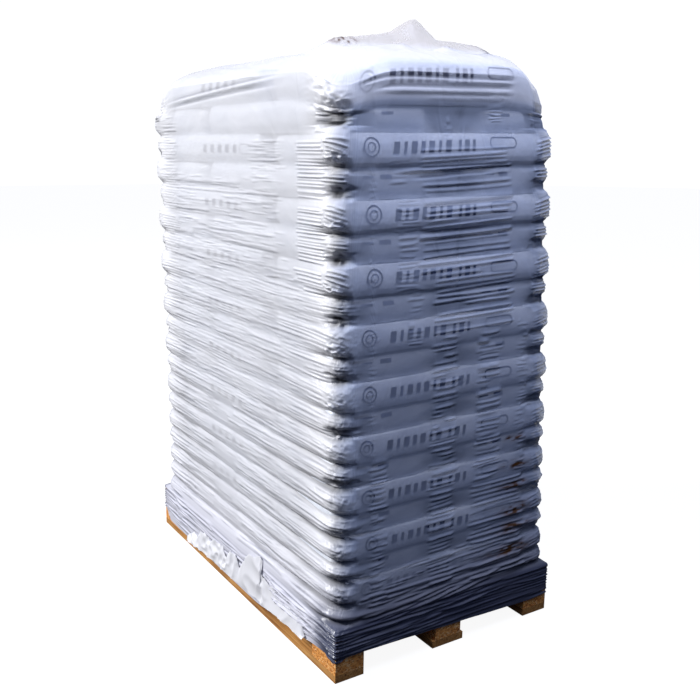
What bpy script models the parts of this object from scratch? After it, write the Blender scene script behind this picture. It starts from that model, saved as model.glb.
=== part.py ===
"""Pallet of sacks: a light wooden block pallet, twenty layers of filled sacks and a stretch film hood.

Units are metres, +Z is up. The pallet's length runs along Y and its width along X, and the origin is the
middle of its footprint on the floor. The front, at -Y, is the short side where the printed sacks show.
"""
import math

import bmesh
import bpy
from mathutils import Vector

# Pallet
PALLET_WIDTH = 0.800
PALLET_LENGTH = 1.200
TOUCH_GAP = 0.0003
BOARD_THICKNESS = 0.022
BLOCK_HEIGHT = 0.078
BLOCK_WIDTH = 0.095
BLOCK_LENGTH = 0.120
MIDDLE_SKID_WIDTH = 0.115
DECK_BOARD_COUNT = 7
DECK_BOARD_WIDTH = 0.100

# Sacks
LAYER_COUNT = 20
LOWEST_LAYER_THICKNESS = 0.063
HIGHEST_LAYER_THICKNESS = 0.088
TOP_SACK_THICKNESS = 0.112
LOAD_HALF_WIDTH = 0.388
LOAD_HALF_LENGTH = 0.588
SACK_CORNER_RADIUS = 0.060
SACK_CORNER_STEPS = 3
SACK_OVERLAP = 0.003
SACK_SHIFT = 0.003

# A sack's upright section: height as a part of its thickness, then how far its side and its end lie in
SACK_PROFILE = ((0.00, 0.024, 0.040), (0.20, 0.007, 0.012), (0.50, 0.000, 0.000),
                (0.80, 0.007, 0.012), (1.00, 0.024, 0.040))
TOP_SACK_PROFILE = ((0.00, 0.024, 0.040), (0.18, 0.007, 0.012), (0.40, 0.000, 0.000), (0.62, 0.016, 0.020),
                    (0.82, 0.046, 0.052), (0.94, 0.085, 0.095), (1.00, 0.130, 0.145))

# Stretch film: the solid is thicker than the real 0.1 mm film, so that it is a closed body
FILM_THICKNESS = 0.001
FILM_STANDOFF = 0.0025
FILM_DIP = 0.007
FILM_CORNER_RADIUS = 0.045
FILM_DECK_CORNER_RADIUS = 0.004
FILM_CORNER_STEPS = 4
FILM_DECK_STANDOFF = 0.0020
FILM_HEM_FRONT = 0.066
FILM_HEM_LEFT = 0.034
FILM_SIDE_STEPS = 12
FILM_CROWN = 0.012
FILM_TOP_SLACK = 0.94

# The loose fold of film that stands up on top, across the front of the load: how far along its ridge, from
# the right side to the left, and how high the ridge stands there
FOLD_RIDGE = ((0.10, 0.020), (0.28, 0.045), (0.50, 0.105), (0.86, 0.025))
FOLD_ROW_FROM_FRONT = 2

DECK_TOP = 3 * BOARD_THICKNESS + BLOCK_HEIGHT + 3 * TOUCH_GAP
SIDES = ("left", "middle", "right")
ENDS = ("front", "middle", "back")


def clear_scene():
    for old in list(bpy.data.objects):
        bpy.data.objects.remove(old, do_unlink=True)


def make_material(name, colour, roughness, alpha=1.0):
    material = bpy.data.materials.new(name)
    material.use_nodes = True
    shader = material.node_tree.nodes["Principled BSDF"]
    shader.inputs["Base Color"].default_value = (*colour, 1.0)
    shader.inputs["Roughness"].default_value = roughness
    shader.inputs["Metallic"].default_value = 0.0
    shader.inputs["Alpha"].default_value = alpha
    return material


def add_object(name, mesh, material, place=(0.0, 0.0, 0.0), parent=None):
    thing = bpy.data.objects.new(name, mesh)
    bpy.context.scene.collection.objects.link(thing)
    thing.location = place
    thing.parent = parent
    if material.name not in mesh.materials:
        mesh.materials.append(material)
    return thing


def box_mesh(name, size):
    """A box with its underside at z = 0, centred in X and Y."""
    shape = bmesh.new()
    bmesh.ops.create_cube(shape, size=1.0)
    for vert in shape.verts:
        vert.co = Vector((vert.co.x * size[0], vert.co.y * size[1], (vert.co.z + 0.5) * size[2]))
    mesh = bpy.data.meshes.new(name)
    shape.to_mesh(mesh)
    shape.free()
    return mesh


def outline(half_x, half_y, radius, steps):
    """A rounded rectangle, anticlockwise from the right end of the +Y side."""
    points = []
    for quarter, (sign_x, sign_y) in enumerate(((1, 1), (-1, 1), (-1, -1), (1, -1))):
        for step in range(steps + 1):
            angle = math.pi / 2 * (quarter + step / steps)
            points.append((sign_x * (half_x - radius) + radius * math.cos(angle),
                           sign_y * (half_y - radius) + radius * math.sin(angle)))
    return points


def loft(shape, rings):
    """Join rings of equal length by quads, lowest ring first."""
    loops = [[shape.verts.new(point) for point in ring] for ring in rings]
    count = len(loops[0])
    for lower, upper in zip(loops, loops[1:]):
        for n in range(count):
            m = (n + 1) % count
            shape.faces.new((lower[n], lower[m], upper[m], upper[n]))
    return loops


def sack_mesh(name, half_x, half_y, thickness, profile, ends_along_x):
    """A filled sack as a pillow: flat where it lies on the next one, crowned at its sides and ends."""
    rings = []
    for height, side_in, end_in in profile:
        in_x, in_y = (end_in, side_in) if ends_along_x else (side_in, end_in)
        points = outline(half_x - in_x, half_y - in_y, SACK_CORNER_RADIUS, SACK_CORNER_STEPS)
        rings.append([(x, y, height * thickness) for x, y in points])
    shape = bmesh.new()
    loops = loft(shape, rings)
    shape.faces.new(list(reversed(loops[0])))
    shape.faces.new(loops[-1])
    mesh = bpy.data.meshes.new(name)
    shape.to_mesh(mesh)
    shape.free()
    mesh.shade_smooth()
    mesh.set_sharp_from_angle(angle=math.radians(50))
    return mesh


def build_pallet(root, sawn_wood, chipboard):
    """Boards and blocks from the floor up, each a hair clear of the one below."""
    row_x = [n * (PALLET_WIDTH - BLOCK_WIDTH) / 2 for n in (-1, 0, 1)]
    row_y = [n * (PALLET_LENGTH - BLOCK_LENGTH) / 2 for n in (-1, 0, 1)]
    skid_mesh = box_mesh("skid", (BLOCK_WIDTH, PALLET_LENGTH, BOARD_THICKNESS))
    wide_skid_mesh = box_mesh("wide_skid", (MIDDLE_SKID_WIDTH, PALLET_LENGTH, BOARD_THICKNESS))
    block_mesh = box_mesh("block", (BLOCK_WIDTH, BLOCK_LENGTH, BLOCK_HEIGHT))
    stringer_mesh = box_mesh("stringer", (PALLET_WIDTH, BLOCK_LENGTH, BOARD_THICKNESS))
    deck_mesh = box_mesh("deck_board", (DECK_BOARD_WIDTH, PALLET_LENGTH, BOARD_THICKNESS))

    block_z = BOARD_THICKNESS + TOUCH_GAP
    stringer_z = block_z + BLOCK_HEIGHT + TOUCH_GAP
    deck_z = stringer_z + BOARD_THICKNESS + TOUCH_GAP
    for side, x in zip(SIDES, row_x):
        mesh = wide_skid_mesh if side == "middle" else skid_mesh
        add_object(f"bottom_board_{side}", mesh, sawn_wood, (x, 0.0, 0.0), root)
        for end, y in zip(ENDS, row_y):
            add_object(f"block_{end}_{side}", block_mesh, chipboard, (x, y, block_z), root)
    for end, y in zip(ENDS, row_y):
        add_object(f"stringer_board_{end}", stringer_mesh, sawn_wood, (0.0, y, stringer_z), root)
    pitch = (PALLET_WIDTH - DECK_BOARD_WIDTH) / (DECK_BOARD_COUNT - 1)
    for n in range(DECK_BOARD_COUNT):
        x = (n - (DECK_BOARD_COUNT - 1) / 2) * pitch
        add_object(f"deck_board_{n + 1}", deck_mesh, sawn_wood, (x, 0.0, deck_z), root)


def layer_places():
    """Each layer's underside and thickness: the load presses the lower layers flatter."""
    places = []
    z = DECK_TOP + TOUCH_GAP
    step = (HIGHEST_LAYER_THICKNESS - LOWEST_LAYER_THICKNESS) / (LAYER_COUNT - 1)
    for n in range(LAYER_COUNT):
        top_one = n == LAYER_COUNT - 1
        thickness = TOP_SACK_THICKNESS if top_one else LOWEST_LAYER_THICKNESS + n * step
        places.append((z, thickness))
        z += thickness + TOUCH_GAP
    return places


def sack_spots(cross_at_front):
    """Centre, half sizes and direction of the three sacks of a layer: one across, two lengthwise."""
    turn = 1 if cross_at_front else -1
    seam = turn * -LOAD_HALF_LENGTH * 0.34
    cross_end = turn * -LOAD_HALF_LENGTH
    long_end = -cross_end
    cross_half = abs(seam - cross_end) / 2 + SACK_OVERLAP
    long_half = abs(long_end - seam) / 2 + SACK_OVERLAP
    cross_y = (seam + cross_end) / 2 + turn * SACK_OVERLAP
    long_y = (seam + long_end) / 2 - turn * SACK_OVERLAP
    half = LOAD_HALF_WIDTH / 2
    return (((0.0, cross_y), (LOAD_HALF_WIDTH, cross_half), True),
            ((-half + SACK_OVERLAP, long_y), (half + SACK_OVERLAP, long_half), False),
            ((half - SACK_OVERLAP, long_y), (half + SACK_OVERLAP, long_half), False))


def build_layer(number, z, thickness, root, sack_plastic):
    """Three sacks made one solid. Their rounded edges leave the grooves between them."""
    cross_at_front = number % 2 == 0
    profile = TOP_SACK_PROFILE if number == LAYER_COUNT else SACK_PROFILE
    shift = Vector((math.sin(number * 2.3), math.cos(number * 1.7), 0.0)) * SACK_SHIFT
    layer = None
    for n, ((x, y), (half_x, half_y), ends_along_x) in enumerate(sack_spots(cross_at_front)):
        mesh = sack_mesh(f"sack_{number:02d}_{n + 1}", half_x - SACK_SHIFT, half_y - SACK_SHIFT, thickness,
                         profile, ends_along_x)
        place = Vector((x, y, z)) + shift
        if layer is None:
            layer = add_object(f"sack_layer_{number:02d}", mesh, sack_plastic, place, root)
            continue
        guide = add_object(f"layer_{number:02d}_sack_{n + 1}_guide", mesh, sack_plastic, place, root)
        guide.hide_render = True
        guide.display_type = "WIRE"
        join = layer.modifiers.new(f"join_sack_{n + 1}", "BOOLEAN")
        join.operation = "UNION"
        join.solver = "EXACT"
        join.object = guide
    return layer


def film_rows():
    """Heights of the film's rows up the load, how far each lies out from the load's own sides, and the
    radius of its corners, which are sharp round the pallet."""
    places = layer_places()
    deck_out = PALLET_WIDTH / 2 - LOAD_HALF_WIDTH + FILM_DECK_STANDOFF
    rows = [(DECK_TOP - BOARD_THICKNESS, deck_out, FILM_DECK_CORNER_RADIUS),
            (DECK_TOP, deck_out, FILM_DECK_CORNER_RADIUS),
            (DECK_TOP + 0.3 * places[0][1], FILM_STANDOFF, FILM_CORNER_RADIUS)]
    for number, (z, thickness) in enumerate(places[:-1], start=1):
        if number > 1:
            rows.append((z, FILM_STANDOFF - FILM_DIP, FILM_CORNER_RADIUS))
        rows.append((z + thickness / 2, FILM_STANDOFF, FILM_CORNER_RADIUS))
    z, thickness = places[-1]
    rows.append((z, FILM_STANDOFF - FILM_DIP, FILM_CORNER_RADIUS))
    rows.append((z + TOP_SACK_PROFILE[2][0] * thickness, FILM_STANDOFF, FILM_CORNER_RADIUS))
    for height, side_in, _ in TOP_SACK_PROFILE[3:]:
        above = TOUCH_GAP if height == 1.0 else 2 * FILM_STANDOFF
        rows.append((z + height * thickness + above, FILM_STANDOFF - side_in * FILM_TOP_SLACK,
                     FILM_CORNER_RADIUS))
    return rows


def film_ring(z, out, radius):
    """One row of the film, with the same number of points on each quarter of the way round."""
    half_x = LOAD_HALF_WIDTH + out
    half_y = LOAD_HALF_LENGTH + out
    corners = outline(half_x, half_y, radius, FILM_CORNER_STEPS)
    per_corner = FILM_CORNER_STEPS + 1
    between = FILM_SIDE_STEPS - FILM_CORNER_STEPS
    ring = []
    for quarter in range(4):
        arc = corners[quarter * per_corner:(quarter + 1) * per_corner]
        following = corners[(quarter + 1) * per_corner % len(corners)]
        ring.extend(arc)
        for step in range(1, between):
            part = step / between
            ring.append(tuple(a + (b - a) * part for a, b in zip(arc[-1], following)))
    return [Vector((x, y, z)) for x, y in ring]


def fold_height(across):
    """Height of the loose fold's ridge, where across runs from 0 at the right side to 1 at the left."""
    for (start, low), (end, high) in zip(FOLD_RIDGE, FOLD_RIDGE[1:]):
        if start <= across <= end:
            return low + (high - low) * (across - start) / (end - start)
    return 0.0


def film_cap(shape, loop):
    """Close the film's top with a grid whose rim is its last ring, crowned, with the loose fold raised."""
    side = FILM_SIDE_STEPS
    start = FILM_CORNER_STEPS // 2
    rim = [loop[(start + n) % len(loop)] for n in range(len(loop))]
    back = [rim[n] for n in range(side + 1)]
    left = [rim[side + n] for n in range(side + 1)]
    front = [rim[3 * side - n] for n in range(side + 1)]
    right = [rim[-n % len(rim)] for n in range(side + 1)]
    grid = [[None] * (side + 1) for _ in range(side + 1)]
    for n in range(side + 1):
        grid[n][0], grid[n][side] = back[n], front[n]
        grid[0][n], grid[side][n] = right[n], left[n]
    for i in range(1, side):
        for j in range(1, side):
            u, v = i / side, j / side
            blend = (back[i].co * (1 - v) + front[i].co * v + right[j].co * (1 - u) + left[j].co * u
                     - back[0].co * (1 - u) * (1 - v) - back[side].co * u * (1 - v)
                     - front[0].co * (1 - u) * v - front[side].co * u * v)
            crown = FILM_CROWN * math.sin(math.pi * u) * math.sin(math.pi * v)
            fold = fold_height(u) if j == side - FOLD_ROW_FROM_FRONT else 0.0
            grid[i][j] = shape.verts.new((blend.x, blend.y, blend.z + crown + fold))
    for i in range(side):
        for j in range(side):
            shape.faces.new((grid[i][j], grid[i + 1][j], grid[i + 1][j + 1], grid[i][j + 1]))


def build_film(root, stretch_film):
    """The hood: rows of points up the load, a crowned top, and a Solidify modifier for its thickness."""
    rows = film_rows()
    hem = film_ring(0.0, *rows[0][1:])
    for point in hem:
        leftward = max(0.0, -point.x / (PALLET_WIDTH / 2))
        lengthwise = 1.0 - min(1.0, abs(point.y) / (PALLET_LENGTH / 2))
        low = min(1.0, 3.0 * lengthwise) * max(0.0, 4.0 * leftward - 3.0)
        point.z = FILM_HEM_FRONT + (FILM_HEM_LEFT - FILM_HEM_FRONT) * low
    rings = [hem] + [film_ring(*row) for row in rows]
    shape = bmesh.new()
    loops = loft(shape, rings)
    film_cap(shape, loops[-1])
    bmesh.ops.recalc_face_normals(shape, faces=shape.faces)
    mesh = bpy.data.meshes.new("film_hood")
    shape.to_mesh(mesh)
    shape.free()
    mesh.shade_smooth()
    mesh.set_sharp_from_angle(angle=math.radians(60))
    film = add_object("film_hood", mesh, stretch_film, parent=root)
    thicken = film.modifiers.new("film_thickness", "SOLIDIFY")
    thicken.thickness = FILM_THICKNESS
    thicken.offset = 1.0
    return film


def build():
    clear_scene()
    sawn_wood = make_material("sawn_wood", (0.45, 0.27, 0.13), 0.75)
    chipboard = make_material("chipboard", (0.36, 0.20, 0.09), 0.85)
    sack_plastic = make_material("sack_plastic", (0.78, 0.79, 0.84), 0.35)
    stretch_film = make_material("stretch_film", (0.85, 0.87, 0.92), 0.20, alpha=0.45)

    root = bpy.data.objects.new("pallet_of_sacks", None)
    bpy.context.scene.collection.objects.link(root)
    build_pallet(root, sawn_wood, chipboard)
    for number, (z, thickness) in enumerate(layer_places(), start=1):
        build_layer(number, z, thickness, root, sack_plastic)
    build_film(root, stretch_film)


build()
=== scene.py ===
# %% [markdown]
# # A pallet of sacks under stretch film
#
# The real thing is a wooden pallet, sixty filled plastic sacks laid three to a layer, and a hood of thin
# stretch film pulled down over all of it. The solids that carry the load come ready-made from the frame.
# This script gives them their looks: puffed sacks with printed marks, wrinkled film, sawn wood and pressed
# chipboard. Every size is in metres, +Z is up, and the front is the short side at -Y.

# %% Load the frame
import math

import bpy
import numpy as np
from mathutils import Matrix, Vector


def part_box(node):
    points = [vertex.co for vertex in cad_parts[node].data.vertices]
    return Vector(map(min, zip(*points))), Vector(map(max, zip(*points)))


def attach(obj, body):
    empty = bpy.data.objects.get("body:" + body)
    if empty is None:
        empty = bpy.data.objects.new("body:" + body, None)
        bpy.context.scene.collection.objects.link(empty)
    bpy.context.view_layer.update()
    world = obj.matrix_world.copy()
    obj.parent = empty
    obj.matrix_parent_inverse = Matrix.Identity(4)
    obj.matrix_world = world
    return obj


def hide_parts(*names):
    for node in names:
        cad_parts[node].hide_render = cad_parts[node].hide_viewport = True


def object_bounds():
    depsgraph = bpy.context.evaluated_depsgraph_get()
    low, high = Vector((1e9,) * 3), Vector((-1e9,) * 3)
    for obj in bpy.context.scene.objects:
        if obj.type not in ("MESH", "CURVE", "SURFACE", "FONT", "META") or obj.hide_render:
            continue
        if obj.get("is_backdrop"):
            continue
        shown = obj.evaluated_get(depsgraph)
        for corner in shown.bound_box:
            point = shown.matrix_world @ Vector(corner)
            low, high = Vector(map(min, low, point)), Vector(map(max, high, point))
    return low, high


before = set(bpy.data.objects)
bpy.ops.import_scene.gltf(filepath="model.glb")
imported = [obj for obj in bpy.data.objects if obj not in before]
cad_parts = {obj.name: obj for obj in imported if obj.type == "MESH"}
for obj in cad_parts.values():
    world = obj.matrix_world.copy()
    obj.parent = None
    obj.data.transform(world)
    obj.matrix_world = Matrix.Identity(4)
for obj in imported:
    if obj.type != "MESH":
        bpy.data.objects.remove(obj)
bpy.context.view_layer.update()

# %% [markdown]
# ## Small helpers
#
# A colour is written as the sRGB hex value that a colour picker shows, and the shader wants linear light, so
# one function turns one into the other. Another adds a node with its settings and its links. Others make an
# object from points and faces, and keep a number at each of its points for its material to read.

# %% Colour, node and mesh helpers
# A Mix node holds sockets for every kind of data; these are the ones for colour
COLOUR_A, COLOUR_B, COLOUR_OUT = 6, 7, 2


def linear(hex_colour):
    """sRGB hex to linear RGBA."""
    parts = [int(hex_colour[n:n + 2], 16) / 255 for n in (1, 3, 5)]
    return (*[c / 12.92 if c <= 0.04045 else ((c + 0.055) / 1.055) ** 2.4 for c in parts], 1.0)


def add_node(tree, kind, sockets=None, **settings):
    """Add a node, set its properties, and give each named socket a value or a link."""
    node = tree.nodes.new(kind)
    for name, value in settings.items():
        setattr(node, name, value)
    for name, value in (sockets or {}).items():
        if isinstance(value, bpy.types.NodeSocket):
            tree.links.new(value, node.inputs[name])
        else:
            node.inputs[name].default_value = value
    return node


def new_material(name):
    material = bpy.data.materials.new(name)
    material.use_nodes = True
    return material, material.node_tree, material.node_tree.nodes["Principled BSDF"]


def colour_steps(tree, factor, steps):
    """A colour ramp: steps are (place, hex colour)."""
    ramp = add_node(tree, "ShaderNodeValToRGB", {"Fac": factor})
    elements = ramp.color_ramp.elements
    while len(elements) < len(steps):
        elements.new(0.5)
    for element, (place, colour) in zip(elements, steps):
        element.position = place
        element.color = linear(colour)
    return ramp.outputs["Color"]


def put_in_scene(name, data):
    """Make an object of a mesh, a lamp or a camera, and link it to the scene."""
    thing = bpy.data.objects.new(name, data)
    bpy.context.scene.collection.objects.link(thing)
    return thing


def mesh_object(name, points, faces, material, smooth=True):
    mesh = bpy.data.meshes.new(name)
    mesh.from_pydata(np.asarray(points, float).tolist(), [], faces)
    mesh.materials.append(material)
    if smooth:
        mesh.shade_smooth()
    return put_in_scene(name, mesh)


def add_field(mesh, name, values):
    """Keep one number at each point of a mesh, for its material to read."""
    mesh.attributes.new(name, "FLOAT", "POINT").data.foreach_set("value", np.ravel(values))


# %% [markdown]
# ## Repeatable randomness
#
# Crumples and wrinkles want a smooth random field that is the same on each run. Value noise does that: a
# seeded table of random numbers, read between its points with a smooth curve.

# %% Value noise
def noise(u, v, seed):
    """Smooth random field from -1 to 1 over the plane, one lattice cell for each unit."""
    table = np.random.default_rng(seed).uniform(-1, 1, (257, 257))
    u, v = np.broadcast_arrays(np.asarray(u, float), np.asarray(v, float))
    iu, iv = np.floor(u).astype(int), np.floor(v).astype(int)
    fu, fv = u - iu, v - iv
    fu, fv = fu * fu * (3 - 2 * fu), fv * fv * (3 - 2 * fv)
    a, b = table[iu % 256, iv % 256], table[(iu + 1) % 256, iv % 256]
    c, d = table[iu % 256, (iv + 1) % 256], table[(iu + 1) % 256, (iv + 1) % 256]
    return (a * (1 - fu) + b * fu) * (1 - fv) + (c * (1 - fu) + d * fu) * fv


def step_up(value, low, high):
    """0 below low, 1 above high, smooth between."""
    part = np.clip((value - low) / (high - low), 0, 1)
    return part * part * (3 - 2 * part)


def between(value, rise, fall):
    """1 between two smooth steps, each given by where it begins and ends, and 0 outside them."""
    return step_up(value, *rise) * (1 - step_up(value, *fall))


def bump_at(value, centre, width):
    """1 at the centre, falling off like a bell."""
    return np.exp(-((value - centre) / width) ** 2)


# %% [markdown]
# ## The layers, as the frame gives them
#
# The lower layers are pressed flatter by the load above, so each layer's height is read from its node.

# %% Layer heights
LAYER_COUNT = 20
layer_boxes = [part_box(f"sack_layer_{n:02d}") for n in range(1, LAYER_COUNT + 1)]
layer_low = np.array([low[2] for low, _ in layer_boxes])
layer_high = np.array([high[2] for _, high in layer_boxes])
DECK_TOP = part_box("deck_board_4")[1][2]
LOAD_TOP = layer_high[-1]
PALLET_HALF_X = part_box("stringer_board_front")[1][0]
print("deck top", round(DECK_TOP, 4), "load top", round(LOAD_TOP, 4))
print("layer heights", np.round(layer_high - layer_low, 3))

# %% [markdown]
# ## The load leans
#
# The stack isn't quite upright. It leans a little to the left and the back, and the sacks near the top, less
# pressed than those below, are a little narrower. At the top's four corners the filling has slumped, so they
# are rounded down, and the top sack at the front sags over the one below. The solids stand upright, so this
# one function moves everything above the pallet, sacks, print and film alike.

# %% Lean and slump
LOAD_HALF_X = 0.385
LOAD_HALF_Y = 0.585
LEAN = 0.019
LEAN_CURVE = 1.3
NARROW = 0.050
SPREAD_LOW = 0.010
SPREAD_FROM = 0.06
SPREAD_BACK = 0.034
SLUMP = 0.050
SLUMP_REACH = 0.096
SLUMP_FROM = 1.50
SLUMP_IN_RIGHT = 0.100
SLUMP_IN_LEFT = 0.060
SLUMP_IN_ENDS = 0.035
FRONT_SAG = 0.018
SAG_AT = 1.573
SAG_HEIGHT = 0.045
SAG_FROM_Y, SAG_FULL_Y = 0.30, 0.52


def settled(points):
    """Move points of the load as the stack leans and spreads and the top's corners slump."""
    points = np.array(points, float)
    x, y, z = points[..., 0], points[..., 1], points[..., 2]
    edge_gap = np.hypot(np.abs(x) - LOAD_HALF_X, np.abs(y) - LOAD_HALF_Y)
    slump = np.exp(-(edge_gap / SLUMP_REACH) ** 2) * step_up(z, SLUMP_FROM, LOAD_TOP)
    height = np.clip((z - DECK_TOP) / (LOAD_TOP - DECK_TOP), 0, 1) ** LEAN_CURVE
    low = step_up(z, DECK_TOP, DECK_TOP + SPREAD_FROM) * (1 - height)
    right, back = np.clip(x / LOAD_HALF_X, 0, 1), np.clip(y / LOAD_HALF_Y, 0, 1)
    sag = FRONT_SAG * bump_at(z, SAG_AT, SAG_HEIGHT) * step_up(-y, SAG_FROM_Y, SAG_FULL_Y)
    slump_in = np.where(x > 0, SLUMP_IN_RIGHT, SLUMP_IN_LEFT) * slump
    points[..., 2] = z - SLUMP * slump - sag
    points[..., 1] = y * (1 - SLUMP_IN_ENDS * slump) + SPREAD_BACK * height * back
    points[..., 0] = x * (1 - slump_in) - height * (LEAN + NARROW * right) + SPREAD_LOW * low * right
    return points


corner_top = (LOAD_HALF_X, LOAD_HALF_Y, LOAD_TOP)
print("the back right corner's top goes from", np.round(corner_top, 3), "to",
      np.round(settled(corner_top), 3))

# %% [markdown]
# ## Sawn softwood
#
# Spruce or pine straight from the saw: pale brown, matt, with darker growth lines along the board and a fuzz
# of torn fibres. The growth lines are a noise stretched along the grain, about 6 mm apart across it, and the
# saw leaves faint stripes across the board.

# %% Sawn wood
GRAIN_WIDTH = 0.006
GRAIN_LENGTH = 0.25


def sawn_wood(name, along_x):
    material, tree, shader = new_material(name)
    place = add_node(tree, "ShaderNodeTexCoord").outputs["Object"]
    across, along = 1 / GRAIN_WIDTH, 1 / GRAIN_LENGTH
    scale = (along, across, across) if along_x else (across, along, across)
    mapped = add_node(tree, "ShaderNodeMapping", {"Vector": place, "Scale": scale}).outputs["Vector"]
    grain = add_node(tree, "ShaderNodeTexNoise", {"Vector": mapped, "Scale": 1.0, "Detail": 6.0,
                                                  "Roughness": 0.6, "Distortion": 0.6}).outputs["Fac"]
    patch = add_node(tree, "ShaderNodeTexNoise", {"Vector": place, "Scale": 7.0,
                                                  "Detail": 3.0}).outputs["Fac"]
    grain_colour = colour_steps(tree, grain, ((0.30, "#8A5526"), (0.48, "#C88C48"), (0.66, "#E2AE6A")))
    stain = colour_steps(tree, patch, ((0.35, "#7A5532"), (0.65, "#FFFFFF")))
    mixed = add_node(tree, "ShaderNodeMix", {"Factor": 0.45, COLOUR_A: grain_colour, COLOUR_B: stain},
                     data_type="RGBA", blend_type="MULTIPLY")
    tree.links.new(mixed.outputs[COLOUR_OUT], shader.inputs["Base Color"])
    bump = add_node(tree, "ShaderNodeBump", {"Height": grain, "Strength": 0.5, "Distance": 0.001})
    tree.links.new(bump.outputs["Normal"], shader.inputs["Normal"])
    shader.inputs["Roughness"].default_value = 0.80
    return material


wood_along_y = sawn_wood("sawn_softwood_lengthwise", along_x=False)
wood_along_x = sawn_wood("sawn_softwood_crosswise", along_x=True)

# %% [markdown]
# ## Pressed chipboard
#
# The blocks are wood chips and glue pressed into a bar and sawn off. The eye sees flakes of a few
# millimetres in browns from straw to dark bark, so the colour comes from Voronoi cells of about 6 mm, each
# with its own tint, under a finer noise.

# %% Chipboard
CHIP_SIZE = 0.006


def pressed_chipboard():
    material, tree, shader = new_material("pressed_chipboard")
    place = add_node(tree, "ShaderNodeTexCoord").outputs["Object"]
    flat = add_node(tree, "ShaderNodeMapping", {"Vector": place, "Scale": (1.0, 1.0, 1.9)}).outputs["Vector"]
    chips = add_node(tree, "ShaderNodeTexVoronoi", {"Vector": flat, "Scale": 1 / CHIP_SIZE,
                                                    "Randomness": 1.0})
    tint = add_node(tree, "ShaderNodeSeparateColor", {"Color": chips.outputs["Color"]}).outputs["Red"]
    fine = add_node(tree, "ShaderNodeTexNoise", {"Vector": place, "Scale": 600.0,
                                                 "Detail": 4.0}).outputs["Fac"]
    chip_colour = colour_steps(tree, tint, ((0.0, "#B4682C"), (0.35, "#E09244"), (0.75, "#F8B260"),
                                            (1.0, "#FFD49A")))
    dust = colour_steps(tree, fine, ((0.3, "#B08E68"), (0.7, "#FFFFFF")))
    mixed = add_node(tree, "ShaderNodeMix", {"Factor": 0.1, COLOUR_A: chip_colour, COLOUR_B: dust},
                     data_type="RGBA", blend_type="MULTIPLY")
    tree.links.new(mixed.outputs[COLOUR_OUT], shader.inputs["Base Color"])
    bump = add_node(tree, "ShaderNodeBump", {"Height": chips.outputs["Distance"], "Strength": 0.5,
                                             "Distance": 0.0012})
    tree.links.new(bump.outputs["Normal"], shader.inputs["Normal"])
    shader.inputs["Roughness"].default_value = 0.85
    return material


chipboard = pressed_chipboard()

# %% [markdown]
# ## Dress the pallet
#
# The pallet's boards and blocks already have their true shape, so they only get a material each.

# %% Pallet materials
dressed = 0
for name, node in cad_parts.items():
    if name.startswith("block_"):
        material = chipboard
    elif name.startswith("stringer_board_"):
        material = wood_along_x
    elif name.startswith(("bottom_board_", "deck_board_")):
        material = wood_along_y
    else:
        continue
    node.data.materials.clear()
    node.data.materials.append(material)
    dressed += 1
print("pallet pieces dressed:", dressed)

# %% [markdown]
# ## Sack plastic and printing ink
#
# The sacks are blown polyethylene, white outside, about 0.12 mm thick: soft, slightly waxy and a little
# glossy. Light goes a small way into it, but the filling behind is dark, so a plain opaque white reads right.
# The ink is a thin grey-blue flexo print on it, worn pale in places.

# %% Sack plastic and ink
def sack_plastic():
    material, tree, shader = new_material("white_polyethylene_sack")
    place = add_node(tree, "ShaderNodeTexCoord").outputs["Object"]
    cloud = add_node(tree, "ShaderNodeTexNoise", {"Vector": place, "Scale": 9.0,
                                                  "Detail": 4.0}).outputs["Fac"]
    white = colour_steps(tree, cloud, ((0.30, "#D3D8E3"), (0.70, "#EDF0F6")))
    # Painted shade: a number kept at each point darkens the white towards near black on the tucked outer ends
    # and in the sunk corners.
    painted_shade_amount = add_node(tree, "ShaderNodeAttribute", attribute_name="painted_shade").outputs["Fac"]
    painted_shade = add_node(tree, "ShaderNodeMix", {"Factor": painted_shade_amount, COLOUR_A: white,
                                             COLOUR_B: linear("#1B1F2C")}, data_type="RGBA")
    tree.links.new(painted_shade.outputs[COLOUR_OUT], shader.inputs["Base Color"])
    crumple = add_node(tree, "ShaderNodeTexNoise", {"Vector": place, "Scale": 55.0, "Detail": 3.0,
                                                    "Distortion": 1.2}).outputs["Fac"]
    bump = add_node(tree, "ShaderNodeBump", {"Height": crumple, "Strength": 0.35, "Distance": 0.002})
    tree.links.new(bump.outputs["Normal"], shader.inputs["Normal"])
    shader.inputs["Roughness"].default_value = 0.38
    shader.inputs["IOR"].default_value = 1.51
    return material


def printing_ink(name, dark, pale):
    material, tree, shader = new_material(name)
    place = add_node(tree, "ShaderNodeTexCoord").outputs["Object"]
    wear = add_node(tree, "ShaderNodeTexNoise", {"Vector": place, "Scale": 40.0,
                                                 "Detail": 5.0}).outputs["Fac"]
    ink = colour_steps(tree, wear, ((0.40, dark), (0.72, pale)))
    tree.links.new(ink, shader.inputs["Base Color"])
    shader.inputs["Roughness"].default_value = 0.45
    return material


sack_white = sack_plastic()
ink = printing_ink("grey_blue_flexo_ink", "#141C38", "#46527A")
pale_ink = printing_ink("worn_flexo_ink", "#2C3654", "#6A7490")
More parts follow.
